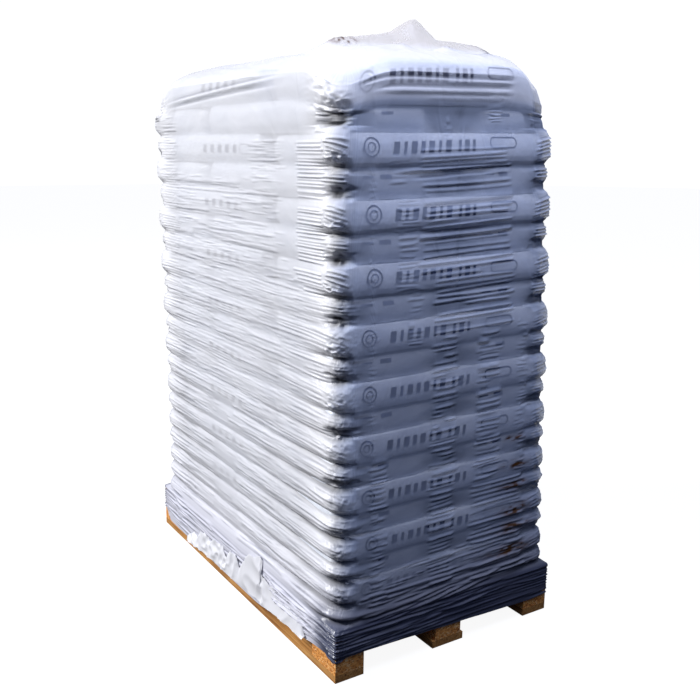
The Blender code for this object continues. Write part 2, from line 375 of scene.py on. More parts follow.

# %% [markdown]
# ## Puffed sacks
#
# A filled sack lying in a stack is flat above and below where its neighbours press it, and rounded along its
# sides. At its ends the tube of plastic was folded and welded, so the ends are tucked in, and the corners of a
# lengthwise sack's outer end sink deep, low down. Cloth filled by pressure could give that, but sixty sacks in
# one stack would take it too long, so each is a stack of rings: every ring is a rounded rectangle, drawn in
# towards the flat faces, and a little noise makes the crumples that run in from the corners. A hollow is told
# by its middle and reach up the sack, its depth and how sharply it fades. That outer end gets painted shade,
# darker higher up, and its sunk corners are painted near black.

# %% Sack shape
SACK_POINTS_PER_CORNER = 9
SACK_POINTS_LONG = 22
SACK_POINTS_SHORT = 12
SACK_CORNER = 0.050
SACK_RINGS = 15
SIDE_PRESS = 0.012
END_PRESS = 0.018
END_TUCK = 0.008
CORNER_PULL = 0.010
SACK_CLEAR = 0.0020
CORNER_EFFECT = 0.12
CRUMPLE = 0.0008
CORNER_CRUMPLE = 0.0030
CRUMPLES_EACH_METRE = 26
CROWN_INSETS = (0.30, 0.62, 0.92)
HOLLOW = (0.30, 0.30, 0.034, 1.4)
HOLLOW_UNDER_TOP = (0.55, 0.60, 0.054, 0.8)


def pressed_in(level):
    """How much a sack is drawn in at a part of its height: 0 at its middle, 1 at its flat faces."""
    return np.abs(2 * level - 1) ** 2.6


def sack_outline(half_long, half_short):
    """Points and outward directions round a sack in plan, and how near each is to an end."""
    r = SACK_CORNER
    points, normals = [], []
    for quarter, (sx, sy) in enumerate(((1, 1), (-1, 1), (-1, -1), (1, -1))):
        centre = np.array([sx * (half_long - r), sy * (half_short - r)])
        for n in range(SACK_POINTS_PER_CORNER):
            angle = math.pi / 2 * (quarter + n / (SACK_POINTS_PER_CORNER - 1))
            normal = np.array([math.cos(angle), math.sin(angle)])
            points.append(centre + r * normal)
            normals.append(normal)
        last = points[-1]
        turn = ((-1, 1), (-1, -1), (1, -1), (1, 1))[quarter]
        next_angle = math.pi / 2 * (quarter + 1)
        next_normal = np.array([math.cos(next_angle), math.sin(next_angle)])
        goal = np.array([turn[0] * (half_long - r), turn[1] * (half_short - r)]) + r * next_normal
        count = SACK_POINTS_LONG if quarter % 2 == 0 else SACK_POINTS_SHORT
        for n in range(1, count):
            points.append(last + (goal - last) * n / count)
            normals.append(next_normal)
    return np.array(points), np.array(normals)


def tightness(low):
    """How far a sack's sides are still rounded at this height: half as much low down."""
    return 0.45 + 0.55 * float(step_up(low, 0.55, 1.15))


def sack_points(half_long, half_short, thickness, crown, outer_end, seed, roundness, hollow_and_painted_shade):
    """Rings of one sack about its own middle, lying along X, its underside at z = 0, and its painted shade."""
    flat, normal = sack_outline(half_long, half_short)
    end_near = np.abs(normal[:, 0])
    corner_gap = np.hypot(half_long - np.abs(flat[:, 0]), half_short - np.abs(flat[:, 1]))
    corner_near = np.clip(1 - corner_gap / CORNER_EFFECT, 0, 1)
    crumple_size = CRUMPLE + CORNER_CRUMPLE * corner_near
    outer = (np.sign(flat[:, 0]) == outer_end) * 1.0
    hollow_level, hollow_reach, pull, sharp = hollow_and_painted_shade
    rings, painted_shades = [], []
    for n in range(SACK_RINGS):
        level = (1 - math.cos(math.pi * n / (SACK_RINGS - 1))) / 2
        press = SIDE_PRESS + (END_PRESS - SIDE_PRESS) * end_near
        press = SACK_CLEAR + press * roundness * pressed_in(level)
        crumple = noise(flat[:, 0] * CRUMPLES_EACH_METRE + 7,
                        flat[:, 1] * CRUMPLES_EACH_METRE + level * 9, seed) * crumple_size
        sunk = outer * corner_near ** sharp * bump_at(level, hollow_level, hollow_reach)
        inward = press + END_TUCK * end_near + CORNER_PULL * corner_near ** 2
        ring = flat - normal * (inward + pull * sunk - crumple)[:, None]
        rise = np.full(len(flat), level * thickness)
        rings.append(np.column_stack([ring, rise]))
        # Painted shade: darker up the outer end of a lengthwise sack, and darkest where its corner sinks.
        painted_shades.append(np.clip(outer * end_near * (0.10 + 0.38 * level) + 1.8 * sunk, 0, 1))
    for inset in CROWN_INSETS:
        top = rings[SACK_RINGS - 1].copy()
        top[:, :2] *= 1 - inset
        top[:, 2] = thickness + crown * (1 - (1 - inset) ** 2)
        rings.append(top)
        painted_shades.append(np.zeros(len(flat)))
    return rings, np.concatenate(painted_shades)


def close_rings(rings):
    """Points and faces of a closed body from rings of equal length."""
    count = len(rings[0])
    points = np.concatenate(rings + [rings[0].mean(0)[None], rings[-1].mean(0)[None]])
    low, high = len(points) - 2, len(points) - 1
    faces = []
    for level in range(len(rings) - 1):
        for n in range(count):
            m = (n + 1) % count
            a = level * count
            faces.append((a + n, a + m, a + count + m, a + count + n))
    last = (len(rings) - 1) * count
    for n in range(count):
        m = (n + 1) % count
        faces.append((m, n, low))
        faces.append((last + n, last + m, high))
    return points, faces


# %% [markdown]
# ## Lay the sacks
#
# Each layer has one sack across and two lengthwise, turned end for end on the layer below, so that the
# joints never line up and the stack holds together. The front shows a long printed side in one layer and two
# sack ends in the next.

# %% Lay the sacks
SEAM_Y = 0.200


def sack_spots(cross_at_front):
    """(centre x, centre y, half length, half width, outer end) for the three sacks of a layer, 0 across."""
    turn = -1 if cross_at_front else 1
    cross_half = (LOAD_HALF_Y - SEAM_Y) / 2
    long_half = (LOAD_HALF_Y + SEAM_Y) / 2
    quarter = LOAD_HALF_X / 2
    return ((0.0, turn * (SEAM_Y + cross_half), LOAD_HALF_X, cross_half, 0),
            (-quarter, -turn * (LOAD_HALF_Y - long_half), long_half, quarter, -turn),
            (quarter, -turn * (LOAD_HALF_Y - long_half), long_half, quarter, -turn))


TOP_SACK_BODY = 0.80
CROWN_SHARE = 0.9
body_high = layer_high.copy()
body_high[-1] = layer_low[-1] + TOP_SACK_BODY * (layer_high[-1] - layer_low[-1])


def layer_of_sacks(index):
    """Points, faces and painted shade of a layer's three sacks, where the frame has them."""
    number = index + 1
    body = body_high[index] - layer_low[index]
    crown = CROWN_SHARE * (layer_high[index] - body_high[index])
    hollow_and_painted_shade = HOLLOW_UNDER_TOP if number == LAYER_COUNT - 1 else HOLLOW
    all_points, all_faces, all_painted_shades = [], [], []
    start = 0
    for n, (x, y, half_long, half_short, outer_end) in enumerate(sack_spots(number % 2 == 0)):
        rings, painted_shades = sack_points(half_long, half_short, body, crown, outer_end, number * 7 + n,
                                    tightness(layer_low[index]), hollow_and_painted_shade)
        points, faces = close_rings(rings)
        if outer_end:
            points = points[:, [1, 0, 2]] * np.array([-1, 1, 1])
        all_points.append(points + np.array([x, y, layer_low[index]]))
        all_faces.extend([tuple(i + start for i in face) for face in faces])
        all_painted_shades.append(np.concatenate([painted_shades, [0, 0]]))
        start += len(points)
    return np.concatenate(all_points), all_faces, np.concatenate(all_painted_shades)


sack_pieces = []
for index in range(LAYER_COUNT):
    points, faces, painted_shades = layer_of_sacks(index)
    piece = mesh_object(f"sacks_{index + 1:02d}", settled(points), faces, sack_white)
    add_field(piece.data, "painted_shade", painted_shades)
    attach(piece, "root")
    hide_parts(f"sack_layer_{index + 1:02d}")
    sack_pieces.append(piece)
print("sack layers:", len(sack_pieces), "points in one:", len(sack_pieces[0].data.vertices))

# %% [markdown]
# ## Generic printed marks
#
# A sack of this kind has a ring, a line of wide type and a rounded box on its long side, and short dashes on
# its ends. Only plain shapes stand there here: a ring, two groups of upright bars and an empty rounded
# outline. Each is a thin strip of mesh that lies on the sack's side, following its curve.

# %% Printed marks
MARK_STANDOFF = 0.0014
MARK_LINE = 0.0035
PRINT_TILT = 0.026


class Marks:
    """Collects strips of mesh laid on an upright face, then makes them one object."""

    def __init__(self, to_world):
        self.to_world = to_world
        self.points, self.faces = [], []

    def strip(self, inner, outer, closed):
        """A band between two lines of (across, up) points."""
        start = len(self.points)
        count = len(inner)
        for a, b in zip(inner, outer):
            self.points.extend([self.to_world(*a), self.to_world(*b)])
        for n in range(count if closed else count - 1):
            m = (n + 1) % count
            self.faces.append((start + 2 * n, start + 2 * m, start + 2 * m + 1, start + 2 * n + 1))

    def ring(self, x, z, radius, width):
        angles = np.linspace(0, 2 * math.pi, 28, endpoint=False)
        inner = [(x + (radius - width) * math.cos(a), z + (radius - width) * math.sin(a)) for a in angles]
        outer = [(x + radius * math.cos(a), z + radius * math.sin(a)) for a in angles]
        self.strip(inner, outer, True)

    def bar(self, x, z, width, height, lean=0.0):
        rows = np.linspace(-0.5, 0.5, 4)
        left = [(x - width / 2 + lean * r * height, z + r * height) for r in rows]
        right = [(x + width / 2 + lean * r * height, z + r * height) for r in rows]
        self.strip(left, right, False)

    def rounded_box(self, x, z, width, height, line):
        corner = height / 2
        inner, outer = [], []
        for quarter, (sx, sz) in enumerate(((1, 1), (-1, 1), (-1, -1), (1, -1))):
            for a in np.linspace(0, math.pi / 2, 6):
                angle = math.pi / 2 * quarter + a
                cx, cz = x + sx * (width / 2 - corner), z + sz * (height / 2 - corner)
                inner.append((cx + (corner - line) * math.cos(angle), cz + (corner - line) * math.sin(angle)))
                outer.append((cx + corner * math.cos(angle), cz + corner * math.sin(angle)))
        self.strip(inner, outer, True)


def front_face(index, end=False):
    """Where a mark lies on the front of a layer: on a sack's long side, or on the ends of two."""
    press, tuck = (END_PRESS, END_TUCK) if end else (SIDE_PRESS, 0.0)
    press = press * tightness(layer_low[index])

    def place(x, z):
        level = np.clip((z - layer_low[index]) / (body_high[index] - layer_low[index]), 0.0, 1.0)
        return (x, -LOAD_HALF_Y + SACK_CLEAR + tuck + press * float(pressed_in(level)) - MARK_STANDOFF, z)
    return place


def left_face(index):
    place = front_face(index)

    def turned(y, z):
        _, depth, height = place(0.0, z)
        return (-(LOAD_HALF_X - (depth + LOAD_HALF_Y)), -y, height)
    return turned


def printed(name, marks, material):
    piece = mesh_object(name, settled(marks.points), marks.faces, material, smooth=False)
    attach(piece, "root")
    return piece


def long_side_print(marks, centre, middle, height, drift):
    """Ring, two groups of bars and a rounded outline; on the upper sacks they rise a little to the right."""
    tilt = PRINT_TILT * float(step_up(middle, 1.15, 1.50))
    size = min(0.050, height * 0.62)
    for radius, line in ((size / 2, MARK_LINE), (size / 4, MARK_LINE * 0.7)):
        marks.ring(centre - 0.282 + drift, middle + 0.002, radius, line)
    tall = min(0.030, height * 0.36, 1.7 * (LOAD_TOP - 0.034 - middle))
    for first, pitch, widths in ((-0.204, 0.0284, (0.018, 0.009, 0.018, 0.013, 0.018, 0.009, 0.018)),
                                 (0.006, 0.0270, (0.010, 0.018, 0.010))):
        for n, width in enumerate(widths):
            x = first + pitch * n
            marks.bar(centre + x + drift, middle + tilt * (x + 0.204), width, tall, 0.12)
    marks.rounded_box(centre + 0.178 + drift, middle + 0.004 + tilt * 0.382, 0.108, min(0.030, height * 0.4),
                      MARK_LINE * 0.8)


front_marks = Marks(front_face(1))
for index in range(1, LAYER_COUNT, 2):
    front_marks.to_world = front_face(index)
    height = body_high[index] - layer_low[index]
    middle = layer_low[index] + height * (0.64 if index == LAYER_COUNT - 1 else 0.56)
    drift = -0.020 if index == LAYER_COUNT - 1 else 0.014 * float(noise(index * 1.7, 0.3, 41))
    long_side_print(front_marks, 0.0, middle, height, drift)
printed("front_print", front_marks, ink)

end_marks = Marks(front_face(0, end=True))
for index in range(0, LAYER_COUNT, 2):
    end_marks.to_world = front_face(index, end=True)
    middle = layer_low[index] + (layer_high[index] - layer_low[index]) * 0.72
    for x in (-0.228, 0.190):
        end_marks.bar(x + 0.008 * float(noise(index, x * 9, 5)), middle, 0.036, 0.010)
        end_marks.bar(x - 0.062, middle, 0.036, 0.0035)
printed("sack_end_dashes", end_marks, ink)

side_marks = Marks(left_face(1))
for index in range(1, LAYER_COUNT, 2):
    side_marks.to_world = left_face(index)
    height = layer_high[index] - layer_low[index]
    middle = layer_low[index] + height * 0.5
    for n in range(5):
        side_marks.bar(-0.18 + 0.05 * n, middle, 0.020, min(0.024, height * 0.3), 0.1)
    side_marks.rounded_box(0.10, middle, 0.10, min(0.030, height * 0.4), MARK_LINE * 0.6)
printed("side_print", side_marks, pale_ink)
for place, marks in (("front", front_marks), ("ends", end_marks), ("side", side_marks)):
    print("faces of print,", place, len(marks.faces))

# %% [markdown]
# ## The film's outline
#
# Stretch film is pulled round the load, so seen from above it is a rounded rectangle. The columns of the
# film's mesh stand on that outline, close together round the corners, where the film gathers into fine
# pleats, and wider apart on the long sides. A place on the film is told by its distance along that outline,
# so there is one function for each side that gives it.

# %% Film outline
FILM_HALF_X = 0.3905
FILM_HALF_Y = 0.5905
FILM_CORNER = 0.055
FRONT_COLUMNS = 76
BACK_COLUMNS = 56
SIDE_COLUMNS = 88
CORNER_COLUMNS = 18
FLAT_X = FILM_HALF_X - FILM_CORNER
FLAT_Y = FILM_HALF_Y - FILM_CORNER
CORNER_ARC = math.pi / 2 * FILM_CORNER


def along_left(y):
    return FLAT_X + CORNER_ARC + FLAT_Y - y


def along_front(x):
    return 2 * FLAT_X + 2 * CORNER_ARC + 2 * FLAT_Y + x


def along_right(y):
    return 3 * FLAT_X + 3 * CORNER_ARC + 3 * FLAT_Y + y


def along_back(x):
    """The back's left half; its right half lies at the far end of the outline."""
    return -x if x <= 0 else FILM_ROUND - x


def film_outline():
    """Points and outward directions round the film, from the middle of the back, leftwards."""
    points, normals = [], []

    def straight(begin, finish, count, normal):
        for part in np.arange(count) / count:
            points.append(np.array(begin) + (np.array(finish) - np.array(begin)) * part)
            normals.append(normal)

    def corner(sign_x, sign_y, first_angle):
        for part in np.arange(CORNER_COLUMNS) / CORNER_COLUMNS:
            angle = first_angle + math.pi / 2 * part
            normals.append((math.cos(angle), math.sin(angle)))
            points.append(np.array((sign_x * FLAT_X, sign_y * FLAT_Y)) + FILM_CORNER * np.array(normals[-1]))

    straight((0, FILM_HALF_Y), (-FLAT_X, FILM_HALF_Y), BACK_COLUMNS // 2, (0, 1))
    corner(-1, 1, math.pi / 2)
    straight((-FILM_HALF_X, FLAT_Y), (-FILM_HALF_X, -FLAT_Y), SIDE_COLUMNS, (-1, 0))
    corner(-1, -1, math.pi)
    straight((-FLAT_X, -FILM_HALF_Y), (FLAT_X, -FILM_HALF_Y), FRONT_COLUMNS, (0, -1))
    corner(1, -1, 1.5 * math.pi)
    straight((FILM_HALF_X, -FLAT_Y), (FILM_HALF_X, FLAT_Y), SIDE_COLUMNS, (1, 0))
    corner(1, 1, 0.0)
    straight((FLAT_X, FILM_HALF_Y), (0, FILM_HALF_Y), BACK_COLUMNS // 2, (0, 1))
    return np.array(points, float), np.array(normals, float)


FILM_ROUND = 4 * FLAT_X + 4 * FLAT_Y + 4 * CORNER_ARC
film_at, film_normal = film_outline()
COLUMNS = len(film_at)
film_along = np.concatenate([
    np.arange(BACK_COLUMNS // 2) / (BACK_COLUMNS // 2) * FLAT_X,
    FLAT_X + np.arange(CORNER_COLUMNS) / CORNER_COLUMNS * CORNER_ARC,
    along_left(FLAT_Y) + np.arange(SIDE_COLUMNS) / SIDE_COLUMNS * 2 * FLAT_Y,
    along_left(-FLAT_Y) + np.arange(CORNER_COLUMNS) / CORNER_COLUMNS * CORNER_ARC,
    along_front(-FLAT_X) + np.arange(FRONT_COLUMNS) / FRONT_COLUMNS * 2 * FLAT_X,
    along_front(FLAT_X) + np.arange(CORNER_COLUMNS) / CORNER_COLUMNS * CORNER_ARC,
    along_right(-FLAT_Y) + np.arange(SIDE_COLUMNS) / SIDE_COLUMNS * 2 * FLAT_Y,
    along_right(FLAT_Y) + np.arange(CORNER_COLUMNS) / CORNER_COLUMNS * CORNER_ARC,
    along_right(FLAT_Y) + CORNER_ARC + np.arange(BACK_COLUMNS // 2) / (BACK_COLUMNS // 2) * FLAT_X])
print("film columns", COLUMNS, "round", round(FILM_ROUND, 3), "m")

# %% [markdown]
# Much of the film's shape depends on how near it is to a corner of the load, and on which way. So each
# column also knows its distance from the nearest corner, counted positive towards the short side.

# %% Distance from the corners
half_arc = CORNER_ARC / 2
corner_places = ((along_left(FLAT_Y) - half_arc, -1), (along_left(-FLAT_Y) + half_arc, 1),
                 (along_front(FLAT_X) + half_arc, -1), (along_right(FLAT_Y) + half_arc, 1))
corner_gaps = np.array([sign * (film_along - place) for place, sign in corner_places])
nearest = np.abs(corner_gaps).argmin(0)
corner_gap = corner_gaps[nearest, np.arange(COLUMNS)]
on_short = np.abs(film_normal[:, 1]) > 0.7
front_half = film_at[:, 1] < 0

# %% [markdown]
# ## The film's rows
#
# From the hem up: close rows round the pallet, where the film is pulled into cords, then rows up the load to
# the shoulder, where it turns over the top. The hem hangs lower along the left side than at the front.

# %% Film rows
SKIRT_ROWS = 46
WALL_ROWS = 620
SKIRT_TOP = DECK_TOP + 0.024
SHOULDER = layer_low[-1] + 0.62 * (layer_high[-1] - layer_low[-1])


def hem_height():
    x, y = film_at[:, 0], film_at[:, 1]
    front = 0.0625 - 0.0125 * x / PALLET_HALF_X + 0.0012 * noise(x * 14, 0.2, 2)
    left = 0.026 + 0.046 * step_up(-y, 0.10, 0.60) + 0.004 * noise(y * 7, 0.5, 3)
    other = 0.058 + 0.006 * noise(film_along * 3, 0.5, 4)
    leftness = step_up(-x, 0.380, 0.392)
    frontness = step_up(-y, 0.570, 0.592)
    height = other * (1 - leftness) + left * leftness
    return height * (1 - frontness) + front * frontness


hem_z = hem_height()
skirt_part = np.arange(SKIRT_ROWS)[:, None] / SKIRT_ROWS
skirt_z = hem_z + (SKIRT_TOP - hem_z) * skirt_part
wall_z = np.linspace(SKIRT_TOP, SHOULDER, WALL_ROWS)[:, None] + np.zeros(COLUMNS)
side_z = np.concatenate([skirt_z, wall_z])
print("rows on the sides", len(side_z), "each", round(1000 * (SHOULDER - SKIRT_TOP) / WALL_ROWS, 1), "mm")

# %% [markdown]
# ## Which sack the film lies on
#
# The layers go in pairs: in one a full long side faces out, and in the other two tucked sack ends do. So each
# place on the film knows its layer, how far up that layer it lies, and how far down the pair. The joints
# between the layers wander a little along the film. Near the pallet the load presses all sacks alike.

# %% Layer and pair
JOINT_WOBBLE = 0.0045
PRESSED_BELOW = 0.42
ROUND_ABOVE = 1.05

layer_edges = np.append(layer_low, layer_high[-1])
wobble = JOINT_WOBBLE * noise(film_along * 4 + 0 * wall_z, wall_z * 9, 50)
lifted = np.clip(wall_z + wobble, layer_edges[0], layer_edges[-1] - 1e-6)
on_layer = np.clip(np.searchsorted(layer_edges, lifted, side="right") - 1, 0, LAYER_COUNT - 1)
up_layer = (lifted - layer_edges[on_layer]) / (layer_edges[on_layer + 1] - layer_edges[on_layer])
ends_show = ((on_layer + 1) % 2 == 0) != front_half
down_pair = np.where(ends_show, (1 - up_layer) / 2, 1 - up_layer / 2)
under_top = on_layer == LAYER_COUNT - 2
low_share = 1 - step_up(wall_z, PRESSED_BELOW, ROUND_ABOVE)
short_share = step_up(corner_gap, -0.035, 0.030)
print("share of the film that lies over sack ends", round(float(ends_show.mean()), 2))

# %% [markdown]
# ## Slopes between the corners
#
# Taut film bridges from one sack to the next. On the short sides the long side of a full sack hangs out over
# the two tucked ends below it, with a sharp crease under it, and from there the film slopes outwards again to
# the foot of the next full sack. The crease is deepest in the middle and high up. The long sides are nearly
# flat. A profile gives how far out the film lies for each place down the pair.

# %% Slopes on the sides
SHORT_PAIR = ((0.00, -0.0120), (0.04, -0.0125), (0.20, -0.0095), (0.50, -0.0045), (0.76, -0.0008),
              (0.86, -0.0008), (0.94, -0.0040), (1.00, -0.0115))
FLAT_DIP = 0.0024
CREASE_LOST_LOW_DOWN = 0.88
CREASE_LOST_AT_TOP = 0.45


def profile(line, place):
    """Read a line of (place, value) points."""
    places, values = np.array(line).T
    return np.interp(place, places, values)


joint = (0.5 + 0.5 * np.cos(2 * math.pi * up_layer)) ** 2
middle_share = 0.55 + 0.45 * bump_at(film_at[:, 0], 0.02, 0.20)
crease_share = ((1 - CREASE_LOST_LOW_DOWN * (1 - step_up(wall_z, 0.85, 1.30)))
                * (1 - CREASE_LOST_AT_TOP * bump_at(wall_z, layer_low[-1], 0.030)))
front_slope = profile(SHORT_PAIR, down_pair) * crease_share * middle_share
slope_out = -FLAT_DIP * joint * (1 - short_share) + front_slope * short_share
print("between the corners the film dips in by", round(-1000 * float(slope_out.min()), 1), "mm at most")

# %% [markdown]
# ## Bumps at the corners
#
# At the corners the full sacks stand out as bumps with a gap under each, and low down each layer shows there
# as a tube. The corner that faces the camera bulges most, and its bumps end sharply on the front. Along the
# long side they fade slowly. Shares and reaches are given in the outline's order: back left, front left,
# front right, back right.

# %% Corner bumps
CORNER_PAIR = ((0.00, -0.0250), (0.05, -0.0190), (0.12, -0.0070), (0.26, -0.0070), (0.34, -0.0110),
               (0.46, -0.0100), (0.52, 0.0010), (0.60, 0.0085), (0.76, 0.0100), (0.87, 0.0060),
               (0.94, -0.0090), (1.00, -0.0250))
TUBE = ((0.0, -0.0280), (0.10, -0.0110), (0.28, 0.0030), (0.62, 0.0050), (0.86, -0.0060), (1.0, -0.0280))
UNDER_TOP_OUT = -0.018
CORNER_SHARES = (0.60, 1.00, 0.50, 0.60)
CORNER_REACHES = (0.060, 0.022, 0.078, 0.060)
corner_share = np.array(CORNER_SHARES)[nearest]
bump_reach = np.array(CORNER_REACHES)[nearest] + 0.022 * low_share

corner_out = profile(CORNER_PAIR, down_pair) * (1 - low_share) + profile(TUBE, up_layer) * low_share
corner_out = np.where(wall_z < layer_low[0] + 0.03, np.maximum(corner_out, -0.005), corner_out)
corner_out = np.where(under_top & (down_pair < 0.42), UNDER_TOP_OUT, corner_out)
tube_fade = 0.50 * np.exp(-(corner_gap / 0.12) ** 2) + 0.50 * np.exp(-(corner_gap / 0.55) ** 2)
on_long = np.exp(-(corner_gap / 0.085) ** 2) * (1 - low_share) + low_share * tube_fade
sudden = 1 - step_up(corner_gap, bump_reach - 0.017, bump_reach + 0.015)
slow = 1 - step_up(corner_gap, bump_reach - 0.030, bump_reach + 0.085)
spread = ends_show * between(down_pair, (0.02, 0.16), (0.40, 0.50))
bump_share = np.where(corner_gap < 0, on_long, sudden + (slow - sudden) * spread)
bump_share = bump_share * (1 - 0.75 * step_up(wall_z, layer_low[-1] - 0.005, LOAD_TOP))
print("share of the film in the corners' bumps", round(float((bump_share > 0.5).mean()), 2))

# %% [markdown]
# ## Painted shade where the film spans gaps
#
# Where the film spans a gap, its colour is painted dark as shade, towards near black, and it is made more
# opaque and rougher there. The hollow low down on two sack ends is the largest, and there the film also dips
# in. A narrow lip of painted shade runs under each bump and back along the long side, and low down a painted
# dark line lies between any two tubes. Noise makes their edges ragged, like crumpled film.

# %% Holes, lips and lines
ragged_pair = down_pair + 0.030 * noise(film_along * 55, wall_z * 60, 51)
ragged_gap = corner_gap + 0.012 * noise(film_along * 20, wall_z * 130, 52)
reach_end = 1 - step_up(ragged_gap, bump_reach - 0.020, bump_reach + 0.030)
across = step_up(ragged_gap + 0.030 * under_top, -0.066, -0.020) * reach_end
hole = ends_show * np.where(under_top, between(ragged_pair, (0.03, 0.12), (0.38, 0.47)),
                            between(ragged_pair, (0.24, 0.33), (0.43, 0.50)))
lip = step_up(ragged_pair, 0.920, 0.965) + 1 - step_up(ragged_pair, 0.010, 0.070)
wedge = step_up(ragged_gap, -0.10 - 0.40 * low_share, -0.010) ** 0.7 * reach_end
tube_line = low_share * bump_at(up_layer, 0.0, 0.19) + low_share * bump_at(up_layer, 1.0, 0.13)
# Painted shade: how dark the film's colour is painted in a hole, under a lip, and on a line between tubes.
gap_painted_shade = np.maximum(across * hole * (0.45 + 0.55 * step_up(wall_z, 0.30, 0.75)),
                      wedge * np.maximum(0.9 * lip * (1 - low_share), 0.80 * tube_line))

# %% [markdown]
# Beside a hole the painted shade is softer. Two more places get a little painted shade: the tucked sack ends,
# and what lies under the top sack.

# %% Soft shade
beside_hole = hole * short_share * (1 - step_up(corner_gap, 0.02, 0.17))
below_top = 1 - step_up(wall_z, layer_low[-1] - 0.02, layer_low[-1] + 0.01)
wall_painted_shade = np.maximum(gap_painted_shade, 0.30 * beside_hole) * np.sqrt(corner_share) * below_top
painted_shade_on_ends = ends_show * short_share * up_layer ** 1.5 * step_up(wall_z, 0.60, 1.20)
painted_shade_under_top = under_top * short_share * (1 - step_up(corner_gap, 0.03, 0.42)) * bump_at(up_layer, 0.42, 0.40)
for painted_shade in (0.26 * painted_shade_on_ends, 0.34 * painted_shade_under_top * corner_share):
    wall_painted_shade = np.maximum(wall_painted_shade, painted_shade)
# The printed share counts the film that gets strong painted shade.
print("share of the film with a dark gap behind it", round(float((wall_painted_shade > 0.5).mean()), 3))

# %% [markdown]
# The parts are put together here. At its foot the film flares out over the pallet's edge, and it dips a
# little where two sacks of one layer meet.

# %% Film on the sides of the load
HOLLOW_DEPTH = 0.0160
FOOT_FLARE = 0.0115
FOOT_FLARE_RISE = 0.045
LONG_SEAM_DIP = 0.0020
END_SEAM_DIP = 0.0025
wall_out = (slope_out * (1 - bump_share) + corner_out * bump_share * corner_share
            - HOLLOW_DEPTH * corner_share * across * hole)
wall_out = wall_out + FOOT_FLARE * (1 - 0.4 * bump_share) * np.exp(-(wall_z - SKIRT_TOP) / FOOT_FLARE_RISE)
seam_y = np.where((on_layer + 1) % 2 == 0, -SEAM_Y, SEAM_Y)
mid_layer = bump_at(up_layer, 0.5, 0.35)
wall_out = wall_out - ~on_short * LONG_SEAM_DIP * mid_layer * bump_at(film_at[:, 1], seam_y, 0.030)
wall_out = wall_out - ends_show * on_short * END_SEAM_DIP * mid_layer * bump_at(film_at[:, 0], 0.0, 0.016)
print("the film lies", np.round(1000 * np.array([wall_out.min(), wall_out.max()]), 1), "mm off its outline")

# %% [markdown]
# ## Under the load
#
# Below the sacks the film steps out over the edge of the deck and is drawn tight round the boards, down to
# its hem. Its corner there is nearly square, because the pallet's is.

# %% Film round the deck
SKIRT_CLEAR = 0.0030
deck_out = PALLET_HALF_X - FILM_HALF_X + SKIRT_CLEAR
lean_in = step_up(skirt_z, DECK_TOP + 0.010, SKIRT_TOP)
square_up = FILM_CORNER * (1 / np.abs(film_normal).max(1) - 1)
skirt_out = (deck_out + 1.06 * square_up) * (1 - lean_in) + wall_out[:1] * lean_in
side_out = np.concatenate([skirt_out, wall_out])
side_painted_shade = np.concatenate([np.zeros((SKIRT_ROWS, COLUMNS)), wall_painted_shade])
# Painted shade: a dark line along the foot of the load, near the front corners.
painted_shade_under_load = np.exp(-(corner_gap / 0.20) ** 2) * bump_at(side_z, SKIRT_TOP + 0.004, 0.009)
side_painted_shade = np.maximum(side_painted_shade, 0.85 * painted_shade_under_load * front_half)

# %% [markdown]
# ## Folds
#
# Pulled one way, thin film wrinkles into long narrow folds that lie level, one above the other, with a dark
# groove under each. They come in upright stacks that all begin and end at the same place, with smooth bands
# between the stacks. One function raises one fold, another fills a stack, and a third strews short ones.

# %% One fold, a stack of them, and a scatter
FOLD_END = 0.014
relief = np.zeros_like(side_z)
looseness = np.zeros_like(side_z)


def fold(begin, finish, z_begin, z_finish, height, width, bow=0.0, groove=0.55, end=FOLD_END):
    """Raise a narrow fold between two places along the film, soft above and sharp below, over a groove."""
    columns = np.where((film_along >= begin) & (film_along <= finish))[0]
    if len(columns) < 2:
        return
    reach = 6 * width + abs(z_finish - z_begin) / 2 + abs(bow) + 0.004
    rows = np.where(np.abs(side_z[:, columns[0]] - (z_begin + z_finish) / 2) < reach)[0]
    patch = np.ix_(rows, columns)
    part = (film_along[columns] - begin) / (finish - begin)
    middle = z_begin + (z_finish - z_begin) * part + bow * 4 * part * (1 - part)
    fade = step_up(np.minimum(part, 1 - part) * (finish - begin), 0, min(end, (finish - begin) / 2))
    away = (side_z[patch] - middle) / width
    ridge = np.exp(-(away / np.where(away > 0, 1.5, 0.85)) ** 2) - groove * np.exp(-((away + 1.6) / 0.9) ** 2)
    relief[patch] += height * fade * ridge
    looseness[patch] = np.maximum(looseness[patch], fade * np.exp(-(away / 3.0) ** 2))


def fold_stack(seed, begin, finish, low, high, spacing, height, slope=0.0, width=0.0030, ragged=0.10,
               loose=0.005):
    """Fill an upright strip of film with folds, some of them shorter than the strip."""
    chance = np.random.default_rng(seed)
    z = low
    while z < high:
        a, b = begin + chance.normal(0, loose), finish + chance.normal(0, loose)
        end = FOLD_END * chance.uniform(0.8, 2.5)
        if chance.random() < ragged:
            a, end = a + (finish - begin) * chance.uniform(0.2, 0.6), 0.05
        elif chance.random() < ragged:
            b, end = b - (finish - begin) * chance.uniform(0.2, 0.6), 0.05
        tilt = slope * (b - a) + chance.normal(0, 0.0022)
        broad = chance.uniform(0.8, 1.25) * (2.0 if chance.random() < 0.15 else 1.0)
        fold(a, b, z - tilt / 2, z + tilt / 2, height * chance.uniform(0.30, 1.45) * broad ** 0.5,
             width * broad, bow=chance.normal(0, 0.0016), end=end)
        z += spacing * chance.uniform(0.65, 1.40) * broad ** 0.5


